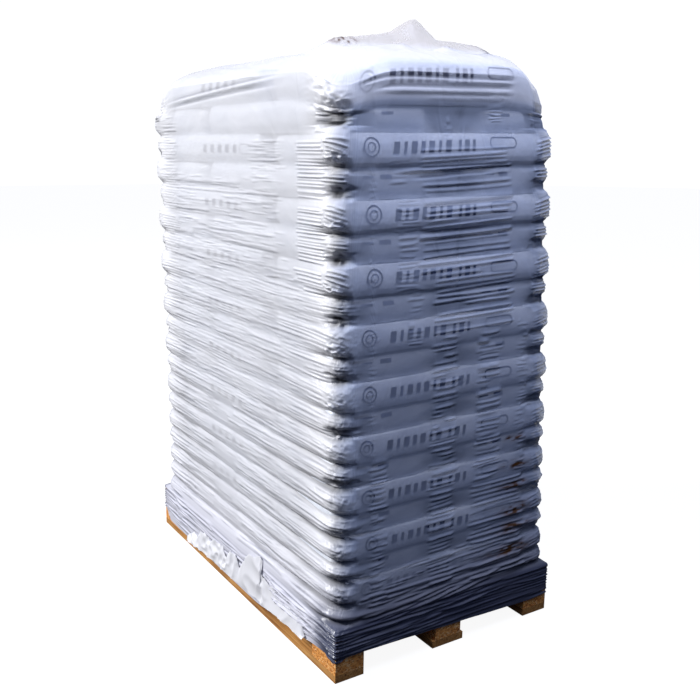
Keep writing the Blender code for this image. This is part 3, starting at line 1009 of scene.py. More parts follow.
def scatter(seed, count, begin, finish, low, high, height, slope=0.0, shortest=0.05, longest=0.22,
            width=0.0023):
    """Strew short thin folds, tapered at both ends, over a strip of film."""
    chance = np.random.default_rng(seed)
    for _ in range(count):
        length = chance.uniform(shortest, longest)
        a = chance.uniform(begin - 0.02, max(finish + 0.02 - length, begin))
        z = chance.uniform(low, high)
        tilt = slope * length + chance.normal(0, 0.0015)
        fold(a, a + length, z - tilt / 2, z + tilt / 2, height * chance.uniform(0.4, 1.5),
             width * chance.uniform(0.8, 1.3), bow=chance.normal(0, 0.0012), end=length / 2)


# %% [markdown]
# ## Where the folds are
#
# The front has a narrow stack of faint folds on the left and a broad one of strong folds on the right of it.
# The left side has wide stacks from top to bottom, with two smooth bands. The other two sides aren't in the
# picture and get stacks of the same kind.

# %% Stacks on the front
LOAD_FOOT = SKIRT_TOP + 0.004
for seed, x_low, x_high, z_low, z_high, spacing, height, slope in (
        (101, -0.235, -0.155, 1.36, 1.44, 0.012, 0.0012, 0.02),
        (102, -0.208, -0.128, 1.08, 1.33, 0.012, 0.0013, 0.01),
        (103, -0.175, -0.105, 0.93, 1.08, 0.012, 0.0014, 0.01),
        (104, -0.143, 0.190, 1.405, 1.445, 0.015, 0.0022, 0.03),
        (105, -0.130, 0.215, 1.130, 1.395, 0.016, 0.0034, 0.04),
        (106, -0.085, 0.228, 0.955, 1.120, 0.017, 0.0036, 0.03),
        (107, -0.088, 0.018, 0.200, 0.945, 0.014, 0.0034, 0.02),
        (108, 0.100, 0.165, 1.52, 1.60, 0.012, 0.0012, 0.00),
        (109, -0.060, -0.030, 1.47, 1.53, 0.011, 0.0008, 0.00),
        (110, 0.084, 0.184, 0.500, 0.950, 0.014, 0.0030, 0.02),
        (111, -0.292, -0.226, LOAD_FOOT, 0.620, 0.012, 0.0026, 0.00),
        (112, -0.300, -0.266, 0.63, 1.40, 0.010, 0.0006, 0.00),
        (113, 0.068, 0.300, LOAD_FOOT, 0.500, 0.014, 0.0034, 0.01),
        (114, 0.238, 0.290, 0.500, 0.960, 0.013, 0.0014, 0.01),
        (115, -0.330, 0.350, LOAD_FOOT, 0.225, 0.011, 0.0022, 0.00)):
    fold_stack(seed, along_front(x_low), along_front(x_high), z_low, z_high, spacing, height, slope)
scatter(121, 70, along_front(-0.300), along_front(0.340), LOAD_FOOT, 0.30, 0.0018, slope=0.02)

# %% Stacks on the left side
for seed, y_high, y_low, z_low, z_high, spacing, height, slope in (
        (203, 0.40, -0.30, 1.20, 1.345, 0.030, 0.0012, 0.01),
        (204, 0.36, -0.34, 0.70, 1.19, 0.034, 0.0012, 0.00),
        (206, 0.47, 0.16, 0.19, 0.93, 0.030, 0.0011, 0.00),
        (207, 0.02, -0.36, 0.19, 0.69, 0.028, 0.0012, 0.00),
        (210, 0.44, 0.28, 0.20, 1.30, 0.040, 0.0011, 0.00)):
    fold_stack(seed, along_left(y_high), along_left(y_low), z_low, z_high, spacing, height, slope,
               width=0.0036, ragged=0.3, loose=0.025)
for seed, count, y_high, y_low, z_low, z_high, height in (
        (221, 40, 0.54, 0.36, 1.34, 1.56, 0.0007), (222, 110, 0.50, 0.16, 0.95, 1.36, 0.0008),
        (223, 70, -0.10, -0.33, 1.35, 1.47, 0.0008), (224, 70, 0.16, -0.32, 1.20, 1.36, 0.0009),
        (225, 520, 0.30, -0.34, 0.68, 1.22, 0.0008), (226, 500, 0.54, 0.15, 0.19, 0.96, 0.0008),
        (227, 420, 0.03, -0.36, 0.19, 0.70, 0.0009), (228, 60, 0.18, 0.00, 0.20, 0.92, 0.0007),
        (229, 130, -0.30, -0.44, 0.19, 1.12, 0.0009)):
    scatter(seed, count, along_left(y_high), along_left(y_low), z_low, z_high, height)

# %% Low folds that run round the corners
round_chance = np.random.default_rng(88)
for place, sign in corner_places:
    z = LOAD_FOOT
    while z < 1.05:
        length = round_chance.uniform(0.12, 0.34)
        a, b = sorted((place - sign * length, place - sign * round_chance.uniform(-0.02, 0.04)))
        drift = round_chance.normal(0, 0.003)
        fold(a, b, z, z + drift, 0.0017 * round_chance.uniform(0.3, 1.4),
             0.0026 * round_chance.uniform(0.8, 1.4), end=0.06)
        z += round_chance.uniform(0.005, 0.011)

# %% Stacks on the right side and the back
for seed, y_low, y_high, z_low, z_high in ((301, -0.33, 0.10, 0.20, 1.42), (302, 0.16, 0.42, 0.55, 1.50),
                                           (303, 0.13, 0.44, 0.19, 0.54)):
    fold_stack(seed, along_right(y_low), along_right(y_high), z_low, z_high, 0.016, 0.0016, width=0.0042)
for seed, x_low, x_high, z_low, z_high in ((401, -0.22, -0.02, 0.20, 1.50), (402, -0.28, -0.24, 0.3, 1.1)):
    fold_stack(seed, along_back(x_high), along_back(x_low), z_low, z_high, 0.015, 0.0017)
    fold_stack(seed + 10, along_back(0.25), along_back(0.04), z_low, z_high, 0.015, 0.0017)

# %% [markdown]
# ## Pleats at the corners
#
# Where a sack's full corner pushes out, the film gathers over it in fine pleats like a shell's, in two
# groups. One lies level on the long side, ends at an upright line on each hand and leaves the bump's top
# smooth. The other fans out over the bump and down its front. Layers with a hollow at that corner have the
# second group only above it. Low down the pleats give way to small crumples on every corner.

# %% Corner pleats
PLEAT_SPACING = 0.0092
PLEAT_HEIGHT = 0.0032
PLEAT_WIDTH = 0.0023
PLEAT_REACH = 0.190
PLEATS_FROM = 1.00
PLEATS_UP_TO = 1.497
CORNER_PLEATS = (0.32, 1.00, 1.20, 0.80)
pleat_chance = np.random.default_rng(77)


def pleat(place, sign, first, last, z_first, z_last, bow, size):
    """A pleat near a corner, from one distance towards the short side to another."""
    loose = 0.006 if size >= 1 else 0.030
    first, last = first + pleat_chance.uniform(-loose, loose), last + pleat_chance.uniform(-0.010, 0.006)
    a, b = sorted((place + sign * first, place + sign * last))
    z_a, z_b = (z_first, z_last) if sign > 0 else (z_last, z_first)
    size = size * pleat_chance.uniform(0.40, 1.35)
    fold(a, b, z_a, z_b, PLEAT_HEIGHT * size, PLEAT_WIDTH * pleat_chance.uniform(0.8, 1.25), bow=bow,
         end=0.010)


for (place, sign), size, last in zip(corner_places, CORNER_PLEATS, CORNER_REACHES):
    at_front = along_left(0) < place < along_right(0)
    for index in range(LAYER_COUNT - 1):
        full_corner = ((index + 1) % 2 == 0) == at_front
        foot, thick = layer_edges[index], layer_edges[index + 1] - layer_edges[index]
        high = float(step_up(foot, PLEATS_FROM - 0.12, PLEATS_FROM + 0.12))
        top_level = 0.74 if full_corner else 0.98
        count = round(thick * top_level / PLEAT_SPACING)
        for n in range(count):
            level = (n + 0.5) / count * top_level
            z = foot + thick * level + pleat_chance.normal(0, 0.0013)
            if z < PLEATS_UP_TO and high > 0:
                shorter = 0.09 * float(step_up(z, PLEATS_UP_TO - 0.040, PLEATS_UP_TO))
                pleat(place, sign, shorter - PLEAT_REACH, -0.052, z, z + 0.004 * (level - 0.4), 0.0,
                      size * high)
        if full_corner:
            for level in (0.05, 0.19, 0.34, 0.50, 0.67, 0.86):
                z_first = foot + thick * (0.30 + 0.66 * level) + pleat_chance.normal(0, 0.002)
                z_last = foot + thick * (0.03 + 0.80 * level) + pleat_chance.normal(0, 0.002)
                pleat(place, sign, -0.046, last, z_first, z_last, 0.007 * level, size * (0.3 + 0.8 * high))
        elif index < LAYER_COUNT - 2:
            for level in (0.60, 0.72, 0.84, 0.95):
                z = foot + thick * level
                pleat(place, sign, -0.050, last, z, z - 0.003, 0.001, size * (0.3 + 0.6 * high))

# %% Crumples on the corners
for n, (place, sign) in enumerate(corner_places):
    gap = sign * (film_along - place)
    on_knob = bump_at(gap, 0.002, 0.040) * between(side_z, (0.17, 0.22), (1.00, 1.20))
    small = 1 - 2 * np.abs(noise(film_along * 85, side_z * 90, 93))
    relief += on_knob * (0.0016 * small + 0.0010 * noise(film_along * 190, side_z * 190, 94))
    for index in range(9, LAYER_COUNT - 1, 2):
        on_lip = bump_at(gap, -0.012, 0.026) * bump_at(side_z, layer_edges[index] + 0.022, 0.014)
        creases = 1 - 2 * np.abs(noise(film_along * 70, side_z * 95, 95))
        relief += on_lip * CORNER_SHARES[n] * (0.0070 * creases + 0.003)

# %% [markdown]
# ## The folds that stand out
#
# Some are larger: the double crease where the left side turns over the top, three tight lines across the top
# sack's front, and the long dark one under the second layer of print.

# %% Single large folds
for y_high, y_low, z_high, z_low, height, width in (
        (0.510, -0.360, 1.589, 1.640, -0.0030, 0.0050), (0.490, -0.340, 1.580, 1.630, 0.0030, 0.0055),
        (0.500, -0.360, 1.571, 1.616, -0.0040, 0.0080)):
    fold(along_left(y_high), along_left(y_low), z_high, z_low, height, width, bow=0.006, groove=0.0, end=0.22)
for x_low, x_high, z_low, z_high, height, width in (
        (-0.350, 0.225, 1.637, 1.639, 0.0040, 0.0030), (-0.340, 0.225, 1.628, 1.630, -0.0036, 0.0036),
        (-0.080, 0.225, 1.619, 1.622, 0.0030, 0.0030), (-0.300, 0.220, 1.609, 1.613, -0.0034, 0.0040),
        (-0.270, 0.220, 1.600, 1.603, 0.0026, 0.0034), (-0.150, 0.215, 1.588, 1.591, 0.0010, 0.0034),
        (-0.220, 0.165, 1.387, 1.402, 0.0056, 0.0045), (-0.180, 0.160, 1.370, 1.384, -0.0032, 0.0050),
        (-0.130, 0.130, 1.233, 1.243, 0.0042, 0.0042)):
    fold(along_front(x_low), along_front(x_high), z_low, z_high, height, width, groove=0.3, end=0.07)

# %% [markdown]
# ## Cords round the pallet
#
# At the deck the film's edge was rolled as it was pulled down, so it lies in tight cords that run right round
# the pallet, drifting up and down a little and crossing here and there.

# %% Cords
CORD_SPACING = 0.0095
cord_chance = np.random.default_rng(9)
for (place, sign), size in zip(corner_places, (0.5, 1.5, 0.5, 0.5)):
    for n in range(9):
        z = 0.070 + CORD_SPACING * n + cord_chance.normal(0, 0.0010)
        for reach in (-1, 1):
            far = place + reach * cord_chance.uniform(0.22, 0.46)
            a, b = sorted((place - reach * 0.05, far))
            drift = cord_chance.normal(0.004, 0.006)
            z_a, z_b = (z, z + drift) if reach > 0 else (z + drift, z)
            fold(a, b, z_a, z_b, size * 0.0026 * cord_chance.uniform(0.6, 1.3), 0.0030, groove=0.7, end=0.05)
for _ in range(150):
    a = cord_chance.uniform(0.02, FILM_ROUND - 0.4)
    z = cord_chance.uniform(0.040, 0.155)
    length = cord_chance.uniform(0.12, 0.45)
    fold(a, a + length, z, z + cord_chance.normal(0, 0.008), 0.0022 * cord_chance.uniform(0.5, 1.4), 0.0026,
         end=length / 3)
for first, last in ((0.56, 0.34), (-0.16, -0.56)):
    for n in range(26):
        z = 0.052 + 0.004 * n + cord_chance.normal(0, 0.001)
        a = along_left(first) + cord_chance.uniform(0, 0.08)
        b = along_left(last) - cord_chance.uniform(0, 0.12)
        fold(a, b, z + cord_chance.normal(0.006, 0.004), z, 0.0036 * cord_chance.uniform(0.3, 1.3), 0.0024,
             end=0.06)
for _ in range(30):
    a = along_front(cord_chance.uniform(-0.36, 0.05))
    z = cord_chance.uniform(0.085, 0.180)
    length = cord_chance.uniform(0.14, 0.36)
    fold(a, a + length, z, z + length * cord_chance.uniform(0.02, 0.12), 0.0030, 0.0028, end=length / 3)

# %% [markdown]
# ## The crumpled corner at the top
#
# Over the corners of the top sacks the film was bunched up as it was pulled tight: sharp little crumples, and
# a dark nick, painted shade, where it dives in under them. Wherever the film lies deep in a groove its colour
# is darkened as painted shade; the grooves are found by comparing the relief with its own running mean.

# %% Bunched corner
for place, sign in corner_places:
    gap = sign * (film_along - place)
    away = np.hypot(gap + 0.052, (side_z - 1.592) * 1.2)
    share = np.exp(-(away / 0.055) ** 2) * step_up(side_z, 1.535, 1.562)
    creases = 1 - 2 * np.abs(noise(film_along * 60 + side_z * 24, side_z * 80 - film_along * 18, 91))
    relief += share * (0.0044 * creases + 0.0016 * noise(film_along * 150, side_z * 170, 92) + 0.0026)
    # Painted shade: the dark nick, and a softer shade beside it, are painted into the film's colour.
    nick_z = 1.548 + 0.25 * (gap + 0.03)
    painted_nick = between(gap, (-0.090, -0.050), (-0.015, 0.025)) * bump_at(side_z, nick_z, 0.014)
    soft_painted_nick = between(gap, (-0.170, -0.085), (-0.060, 0.0)) * bump_at(side_z, 1.526, 0.028)
    side_painted_shade = np.maximum(side_painted_shade, np.maximum(0.95 * painted_nick, 0.36 * soft_painted_nick))

# %% Painted shade in the grooves
SMOOTH_ROWS = 9
padded_relief = np.pad(relief, ((SMOOTH_ROWS // 2, SMOOTH_ROWS // 2), (0, 0)), mode="edge")
running = np.cumsum(np.vstack([np.zeros((1, COLUMNS)), padded_relief]), axis=0)
local_mean = (running[SMOOTH_ROWS:] - running[:-SMOOTH_ROWS]) / SMOOTH_ROWS
# How much painted shade a groove gets, from how far the film lies below its running mean.
groove_shade = np.clip((local_mean - relief) / 0.0016 - 0.15, 0, 1)
print("share of the sides in grooves", round(float(groove_shade.mean()), 3))

side_out = side_out + relief
side_points = np.dstack([film_at[:, 0] + film_normal[:, 0] * side_out,
                         film_at[:, 1] + film_normal[:, 1] * side_out, side_z])
print("folds raise the film by", round(1000 * relief.max(), 1), "mm at most")

# %% [markdown]
# ## Over the top
#
# On top the film is slack. It lies in shallow crumples on the rounded top sacks, and along the front a fold
# of it stands up as a tent, with a peak near the middle and a lower fold before it. Each fold is a ridge
# whose height runs through a few chosen points.

# %% Top shape
TENT = ((-0.330, 1.690), (-0.300, 1.722), (-0.278, 1.731), (-0.182, 1.740), (-0.094, 1.756), (-0.066, 1.774),
        (-0.030, 1.795), (-0.016, 1.794), (0.022, 1.770), (0.068, 1.744), (0.151, 1.741), (0.241, 1.735),
        (0.302, 1.716), (0.350, 1.682))
LOW_FOLD = ((-0.290, 1.690), (-0.220, 1.706), (-0.130, 1.716), (-0.100, 1.722), (-0.020, 1.694),
            (0.051, 1.722), (0.120, 1.706), (0.189, 1.702), (0.300, 1.684))
TENT_Y = -0.400
LOW_FOLD_Y = -0.458
TOP_CRUMPLE = 0.005


def ridge(x, y, crest, crest_y, before, behind):
    """Height of a standing fold: straight slopes down from its crest, before and behind it."""
    line = np.array(crest)
    top = np.interp(x, line[:, 0], line[:, 1])
    inside = step_up(x, line[0, 0] - 0.02, line[0, 0] + 0.02) * step_up(-x, -line[-1, 0] - 0.02,
                                                                        -line[-1, 0] + 0.02)
    place = crest_y + 0.010 * noise(x * 11, 0.3, 35)
    across = np.clip(1 - np.abs(y - place) / np.where(y < place, before, behind), 0, 1)
    return top, inside * across ** 1.15


def top_height(x, y):
    """Height of the film over the top of the load."""
    inward_x = FILM_HALF_X - np.abs(x)
    inward_y = FILM_HALF_Y - np.abs(y)
    near = np.clip(1 - np.minimum(inward_x, inward_y) / 0.17, 0, 1)
    both = np.clip(1 - np.maximum(inward_x, inward_y) / 0.20, 0, 1)
    rise = LOAD_TOP + 0.020 - SHOULDER
    dome = rise * (1 - near ** 2.1) ** 0.62 - 0.010 * both ** 2
    crease = np.abs(noise(x * 13 + y * 4, y * 10 - x * 3, 32))
    crumple = TOP_CRUMPLE * (1 - near) * (0.8 * noise(x * 8, y * 8, 31) + 0.9 - 1.8 * crease)
    height = SHOULDER + dome + crumple
    for crest, crest_y, before, behind in ((TENT, TENT_Y, 0.052, 0.130),
                                           (LOW_FOLD, LOW_FOLD_Y, 0.040, 0.045)):
        top, share = ridge(x, y, crest, crest_y, before, behind)
        height = height + np.maximum(top - height, 0) * share
    return height


TOP_RINGS = 50


def top_ring(step):
    """Points of one ring over the top: step 0 is the shoulder, TOP_RINGS is nearly the middle."""
    part = step / TOP_RINGS
    inset = (FILM_HALF_X - 0.010) * (0.45 * part + 0.55 * part ** 2)
    radius = max(FILM_CORNER - inset, 0.0) + 0.008 * part
    core = np.array([FILM_HALF_X - inset, FILM_HALF_Y - inset]) - radius
    flat = np.clip(film_at / np.array([FLAT_X, FLAT_Y]), -1, 1) * core + film_normal * radius
    settle = max(0.0, 1 - step / 6)
    flat = flat + film_normal * (side_out[-1] * settle)[:, None]
    return np.column_stack([flat, top_height(flat[:, 0], flat[:, 1])])


top_points = np.array([top_ring(step) for step in range(1, TOP_RINGS + 1)])
grid = np.concatenate([side_points, top_points])
print("top of the film", round(float(grid[:, :, 2].max()), 4))

grid = settled(grid)

# %% [markdown]
# ## Make the film's mesh
#
# The hood is one net of points, but too fine for one mesh, so it becomes three pieces, one above the other.
# Normals are worked out on the whole net first, so no line shows where they meet. The UV map holds metres
# along and up the film, for the fine wrinkles in its material.

# %% Film mesh
ROWS = len(grid)
SHADE_RINGS = 14
NEAR_CORNER = 1
row_step = np.linalg.norm(np.diff(grid, axis=0), axis=2)
film_up = np.concatenate([np.zeros((1, COLUMNS)), np.cumsum(row_step, axis=0)])
tangent = np.roll(grid, -1, axis=1) - np.roll(grid, 1, axis=1)
film_turned = np.cross(tangent, np.gradient(grid, axis=0))
film_turned /= np.linalg.norm(film_turned, axis=2, keepdims=True)
top_part = np.zeros((TOP_RINGS, COLUMNS))
off_left = 1 - step_up(-film_at[:, 0], 0.350, 0.392) * ~on_short
# Painted shade: a sky-blue tint on the sides away from the key lamp, fading in from the near corner.
blue_share = np.where(nearest == NEAR_CORNER, step_up(corner_gap, -0.035, 0.050), off_left)
# Painted shade: the band round the pallet is darkened to blue-grey on every side but the left, reaching a
# little way past the near corner.
painted_skirt_share = np.where(nearest == NEAR_CORNER, 1 - step_up(-corner_gap, 0.030, 0.120), off_left)
deck_near = np.exp(-np.clip(side_z - DECK_TOP - 0.010, 0, None) / 0.085)
on_top_sack = step_up(side_z, layer_low[-1] + 0.002, layer_low[-1] + 0.027)
wall_rows = np.ones_like(side_z)
shade_fades = 1 - step_up(np.arange(TOP_RINGS)[:, None], 0, SHADE_RINGS)
patchy = 0.84 + 0.32 * noise(film_along * 14, side_z * 200, 63)
# Some of these fields paint shade into the film's colour: in gaps and hollows, in grooves, on the sides away
# from the key lamp, and on the band round the pallet.
fields = {
    "loose": np.concatenate([np.clip(looseness, 0, 1), top_part + 0.15]),
    "hollow_and_painted_shade": np.concatenate([side_painted_shade * patchy, top_part]),
    "groove": np.concatenate([groove_shade, top_part]),
    "gather": np.concatenate([wall_rows * np.clip(1 - np.abs(corner_gap + 0.06) / 0.13, 0, 1),
                              top_part]),
    "deck": np.concatenate([deck_near, top_part]),
    "shaded": np.concatenate([blue_share * (1 - 0.7 * on_top_sack),
                              blue_share * 0.3 * shade_fades]),
    "painted_skirt_shade": np.concatenate([deck_near * painted_skirt_share, top_part]),
    "long": np.concatenate([np.maximum(1 - step_up(corner_gap, -0.060, 0.020), 0.6 * on_top_sack),
                            top_part]),
    "tent": np.concatenate([0 * side_z, step_up(top_points[:, :, 2], LOAD_TOP + 0.022, LOAD_TOP + 0.040)]),
}
DIRT_SPOTS = ((0.245, 0.447, 0.060, 0.020), (0.255, 0.368, 0.066, 0.024), (0.250, 0.312, 0.072, 0.024),
              (0.250, 0.515, 0.055, 0.015), (0.235, 0.240, 0.085, 0.020), (0.240, 0.600, 0.050, 0.012))
DIRT_TIPS = ((-0.272, -0.405, 0.020, 0.026), (-0.245, -0.425, 0.018, 0.012), (0.290, -0.400, 0.016, 0.018))
dirt = np.zeros_like(side_z)
for x, z, wide, tall in DIRT_SPOTS:
    spot = np.exp(-((film_along - along_front(x)) / wide) ** 2 - ((side_z - z) / tall) ** 2)
    dirt = np.maximum(dirt, spot * (0.80 + 0.90 * noise(film_along * 60, side_z * 210, 61)))
top_dirt = top_part.copy()
for x, y, wide, deep in DIRT_TIPS:
    spot = np.exp(-((top_points[:, :, 0] - x) / wide) ** 2 - ((top_points[:, :, 1] - y) / deep) ** 2)
    grains = step_up(noise(top_points[:, :, 0] * 150, top_points[:, :, 1] * 110, 62), -0.3, 0.3)
    top_dirt = np.maximum(top_dirt, spot * grains * 2.0)
fields["dirt"] = np.clip(np.concatenate([dirt, top_dirt]), 0, 1)


def net_faces(count, closed_top):
    """Faces of so many rows of the net, with strips across the last ring where it closes the top."""
    first = np.arange(count)[:, None] * COLUMNS
    here, after = np.arange(COLUMNS), (np.arange(COLUMNS) + 1) % COLUMNS
    faces = np.stack([first + here, first + after, first + COLUMNS + after, first + COLUMNS + here], axis=2)
    faces = faces.reshape(-1, 4).tolist()
    if closed_top:
        base = count * COLUMNS
        for n in range(COLUMNS // 2):
            strip = [n, n + 1, COLUMNS - n - 1, (COLUMNS - n) % COLUMNS]
            faces.append([base + k for k in dict.fromkeys(strip)])
    return faces


def lay_wrap_map(mesh, up):
    """UV in metres along and up the film. A face over the outline's start runs on past its end."""
    corners = np.zeros(len(mesh.loops), int)
    mesh.loops.foreach_get("vertex_index", corners)
    starts, totals = np.zeros((2, len(mesh.polygons)), int)
    mesh.polygons.foreach_get("loop_start", starts)
    mesh.polygons.foreach_get("loop_total", totals)
    along = np.tile(film_along, len(up))[corners]
    face_along = np.repeat(along[starts], totals)
    along = np.where(face_along - along > FILM_ROUND / 2, along + FILM_ROUND, along)
    wrap = np.column_stack([along, up.ravel()[corners]])
    mesh.uv_layers.new(name="wrap").data.foreach_set("uv", wrap.ravel())


def film_piece(name, first, last, material, closed_top=False):
    """One piece of the film, from one row of the net to another."""
    rows = slice(first, last + 1)
    piece = mesh_object(name, grid[rows].reshape(-1, 3), net_faces(last - first, closed_top), material)
    lay_wrap_map(piece.data, film_up[rows])
    for field, values in fields.items():
        add_field(piece.data, field, values[rows])
    piece.data.normals_split_custom_set_from_vertices(film_turned[rows].reshape(-1, 3).tolist())
    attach(piece, "root")
    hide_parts("film_hood")
    print(name, "triangles", 2 * len(piece.data.polygons))
    return piece


# %% [markdown]
# ## Stretch film
#
# Linear low-density polyethylene, about 0.1 mm thick and drawn tight: milky where it lies in more than one
# layer, and glossy. A thin surface with some see-through in its alpha gives the milky body, and a low
# roughness gives the bright lines along each fold. The finest wrinkles, about 6 mm apart, are too small for
# the mesh, so they are bump, drawn in metres along and up the film. Grooves and hollows get painted shade:
# their colour is darkened, and hollows are also made more opaque. On the sides away from the key lamp the film
# is tinted sky-blue as painted shade. Round the pallet more layers lie on each other and look a little bluer
# and denser, and away from the lit left side that band is painted dark blue-grey as shade.

# %% Film material
FINE_WRINKLE = 0.0060
FINE_PLEAT = 0.0045
MILK_PATCH = 0.030
FILM_DENSITY = (("deck", 0.66), ("loose", 0.05), ("gather", 0.30), ("long", 0.24), ("hollow_and_painted_shade", 0.60),
                ("dirt", 0.70))
# Painted shade among the tints: a sky-blue tint on the sides away from the key lamp, the dark blue-grey band
# round the pallet, and the darkening in grooves, gaps and hollows.
FILM_TINTS = (("shaded", "#CCDAF8"), ("deck", "#DADAE6"), ("painted_skirt_shade", "#54586C"), ("tent", "#C6BEBC"),
              ("painted_groove_shade", "#3A4058"), ("hollow_and_painted_shade", "#12151F"), ("dirt", "#553619"))


def weighted_sum(tree, start, parts):
    """Start plus value times share for each part, as shader nodes. Each may be a number or a socket."""
    total = start
    for value, share in parts:
        total = add_node(tree, "ShaderNodeMath", {0: value, 1: share, 2: total},
                         operation="MULTIPLY_ADD").outputs[0]
    return total


def stretch_film():
    material, tree, shader = new_material("stretch_film_polyethylene")
    wrap = add_node(tree, "ShaderNodeUVMap", uv_map="wrap").outputs["UV"]
    field = {name: add_node(tree, "ShaderNodeAttribute", attribute_name=name).outputs["Fac"]
             for name in fields}

    def wrinkles(scale_along, spacing, detail, distortion):
        scale = (scale_along, 1 / spacing, 1.0)
        stretched = add_node(tree, "ShaderNodeMapping", {"Vector": wrap, "Scale": scale})
        return add_node(tree, "ShaderNodeTexNoise", {"Vector": stretched.outputs["Vector"], "Scale": 0.5,
                                                     "Detail": detail,
                                                     "Distortion": distortion}).outputs["Fac"]

    height = weighted_sum(tree, 0.0, ((wrinkles(7.0, FINE_WRINKLE, 2.0, 0.2), field["loose"]),
                                      (wrinkles(22.0, FINE_PLEAT, 2.0, 0.4), field["gather"])))
    bump = add_node(tree, "ShaderNodeBump", {"Height": height, "Strength": 0.7, "Distance": 0.0022})
    tree.links.new(bump.outputs["Normal"], shader.inputs["Normal"])

    milk = add_node(tree, "ShaderNodeMapRange", {"Value": wrinkles(9.0, MILK_PATCH, 3.0, 0.3), "From Min": 0.3,
                                                 "From Max": 0.7, "To Min": 0.32, "To Max": 0.42})
    alpha = weighted_sum(tree, milk.outputs["Result"], [(field[name], share) for name, share in FILM_DENSITY])
    alpha.node.use_clamp = True
    tree.links.new(alpha, shader.inputs["Alpha"])

    # Painted shade in grooves is stronger round the pallet and weaker on the long sides.
    groove_shade_strength = weighted_sum(tree, 0.60, ((field["long"], -0.22), (field["deck"], 0.35)))
    field["painted_groove_shade"] = weighted_sum(tree, 0.0, ((field["groove"], groove_shade_strength),))
    colour = linear("#EEEEF3")
    for name, towards in FILM_TINTS:
        colour = add_node(tree, "ShaderNodeMix", {"Factor": field[name], COLOUR_A: colour,
                                                  COLOUR_B: linear(towards)},
                          data_type="RGBA").outputs[COLOUR_OUT]
    tree.links.new(colour, shader.inputs["Base Color"])
    rough = weighted_sum(tree, 0.30, ((field["hollow_and_painted_shade"], 0.45),))
    tree.links.new(rough, shader.inputs["Roughness"])
    shader.inputs["IOR"].default_value = 1.51
    return material


film_plastic = stretch_film()
MEETING_ROWS = (0, 250, 470, ROWS - 1)
OVER_THE_TOP = 0.42
meeting_z = [side_z[row].mean() for row in MEETING_ROWS[:3]]
flat_heights = (*np.diff(meeting_z), LOAD_TOP - meeting_z[-1] + OVER_THE_TOP)
for n, name in enumerate(("film_hood_lower", "film_hood_middle", "film_hood_upper")):
    last_piece = n == 2
    piece = film_piece(name, MEETING_ROWS[n], MEETING_ROWS[n + 1], film_plastic, closed_top=last_piece)
    height = round(float(flat_heights[n]), 2)
    print(name, "flat height", height)

# %% [markdown]
# ## Torn film
#
# Low on the left side the film was torn, and the loose part hangs there in crumpled flaps with ragged edges,
# whiter than the rest because it lies in several layers. Its upper and lower edges run through a few chosen
# points, and ridged noise crumples it.

# %% Torn flaps
FLAP_TOP = ((-0.454, 0.074), (-0.415, 0.098), (-0.354, 0.114), (-0.221, 0.130), (-0.194, 0.138),
            (-0.188, 0.192), (-0.140, 0.184), (-0.101, 0.171), (-0.062, 0.130), (-0.040, 0.092),
            (-0.015, 0.132), (0.030, 0.124), (0.058, 0.088), (0.085, 0.120), (0.150, 0.122), (0.185, 0.084),
            (0.215, 0.112), (0.270, 0.098), (0.300, 0.064), (0.330, 0.074), (0.367, 0.040))
FLAP_FOOT = ((-0.454, 0.064), (-0.300, 0.060), (-0.211, 0.055), (-0.040, 0.050), (0.107, 0.048),
             (0.280, 0.036), (0.367, 0.028))
FLAP_COLUMNS, FLAP_ROWS = 190, 22
flap_y = np.linspace(FLAP_FOOT[0][0], FLAP_FOOT[-1][0], FLAP_COLUMNS)
flap_top = (profile(FLAP_TOP, flap_y) + 0.007 * noise(flap_y * 42, 0.4, 71)
            + 0.004 * noise(flap_y * 120, 0.4, 72))
flap_foot = profile(FLAP_FOOT, flap_y) - 0.004 * np.abs(noise(flap_y * 60, 0.7, 73))
flap_part = np.linspace(0, 1, FLAP_ROWS)[:, None]
flap_z = flap_foot + (np.maximum(flap_top, flap_foot + 0.006) - flap_foot) * flap_part
flap_crease = 1 - 2 * np.abs(noise(flap_y * 15 + flap_z * 9, flap_z * 17 - flap_y * 5, 74))
crumpled = bump_at(flap_y, -0.195, 0.030) + 0.9 * step_up(flap_y, -0.06, 0.0)
flap_out = (0.0040 + 0.0135 * (1 - flap_part) ** 0.8 + 0.0032 * flap_crease
            + 0.0045 * crumpled * (1 - 2 * np.abs(noise(flap_y * 36, flap_z * 42, 75))))
flap_sway = flap_y + 0.004 * noise(flap_y * 30, flap_z * 60, 76)
flap_points = np.dstack([-PALLET_HALF_X - flap_out, flap_sway, flap_z])
flap_at = np.arange(FLAP_ROWS * FLAP_COLUMNS).reshape(FLAP_ROWS, FLAP_COLUMNS)
flap_faces = np.stack([flap_at[:-1, 1:], flap_at[:-1, :-1], flap_at[1:, :-1], flap_at[1:, 1:]], axis=2)
flaps = mesh_object("torn_film_flaps", flap_points.reshape(-1, 3), flap_faces.reshape(-1, 4).tolist(),
                    film_plastic)
for field in ("gather", "long"):
    add_field(flaps.data, field, np.ones(flap_at.size))
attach(flaps, "root")

# %% [markdown]
# ## Floor and backdrop
#
# A plain pale floor, and a pale dome behind it that only the camera sees, so that the light on the load
# comes from the lamps and the sky colour alone.

# %% Stage
def stage_material(name, colour, glow):
    material, tree, shader = new_material(name)
    shader.inputs["Base Color"].default_value = linear(colour)
    shader.inputs["Roughness"].default_value = 0.95
    shader.inputs["Emission Color"].default_value = linear(colour)
    shader.inputs["Emission Strength"].default_value = glow
    return material


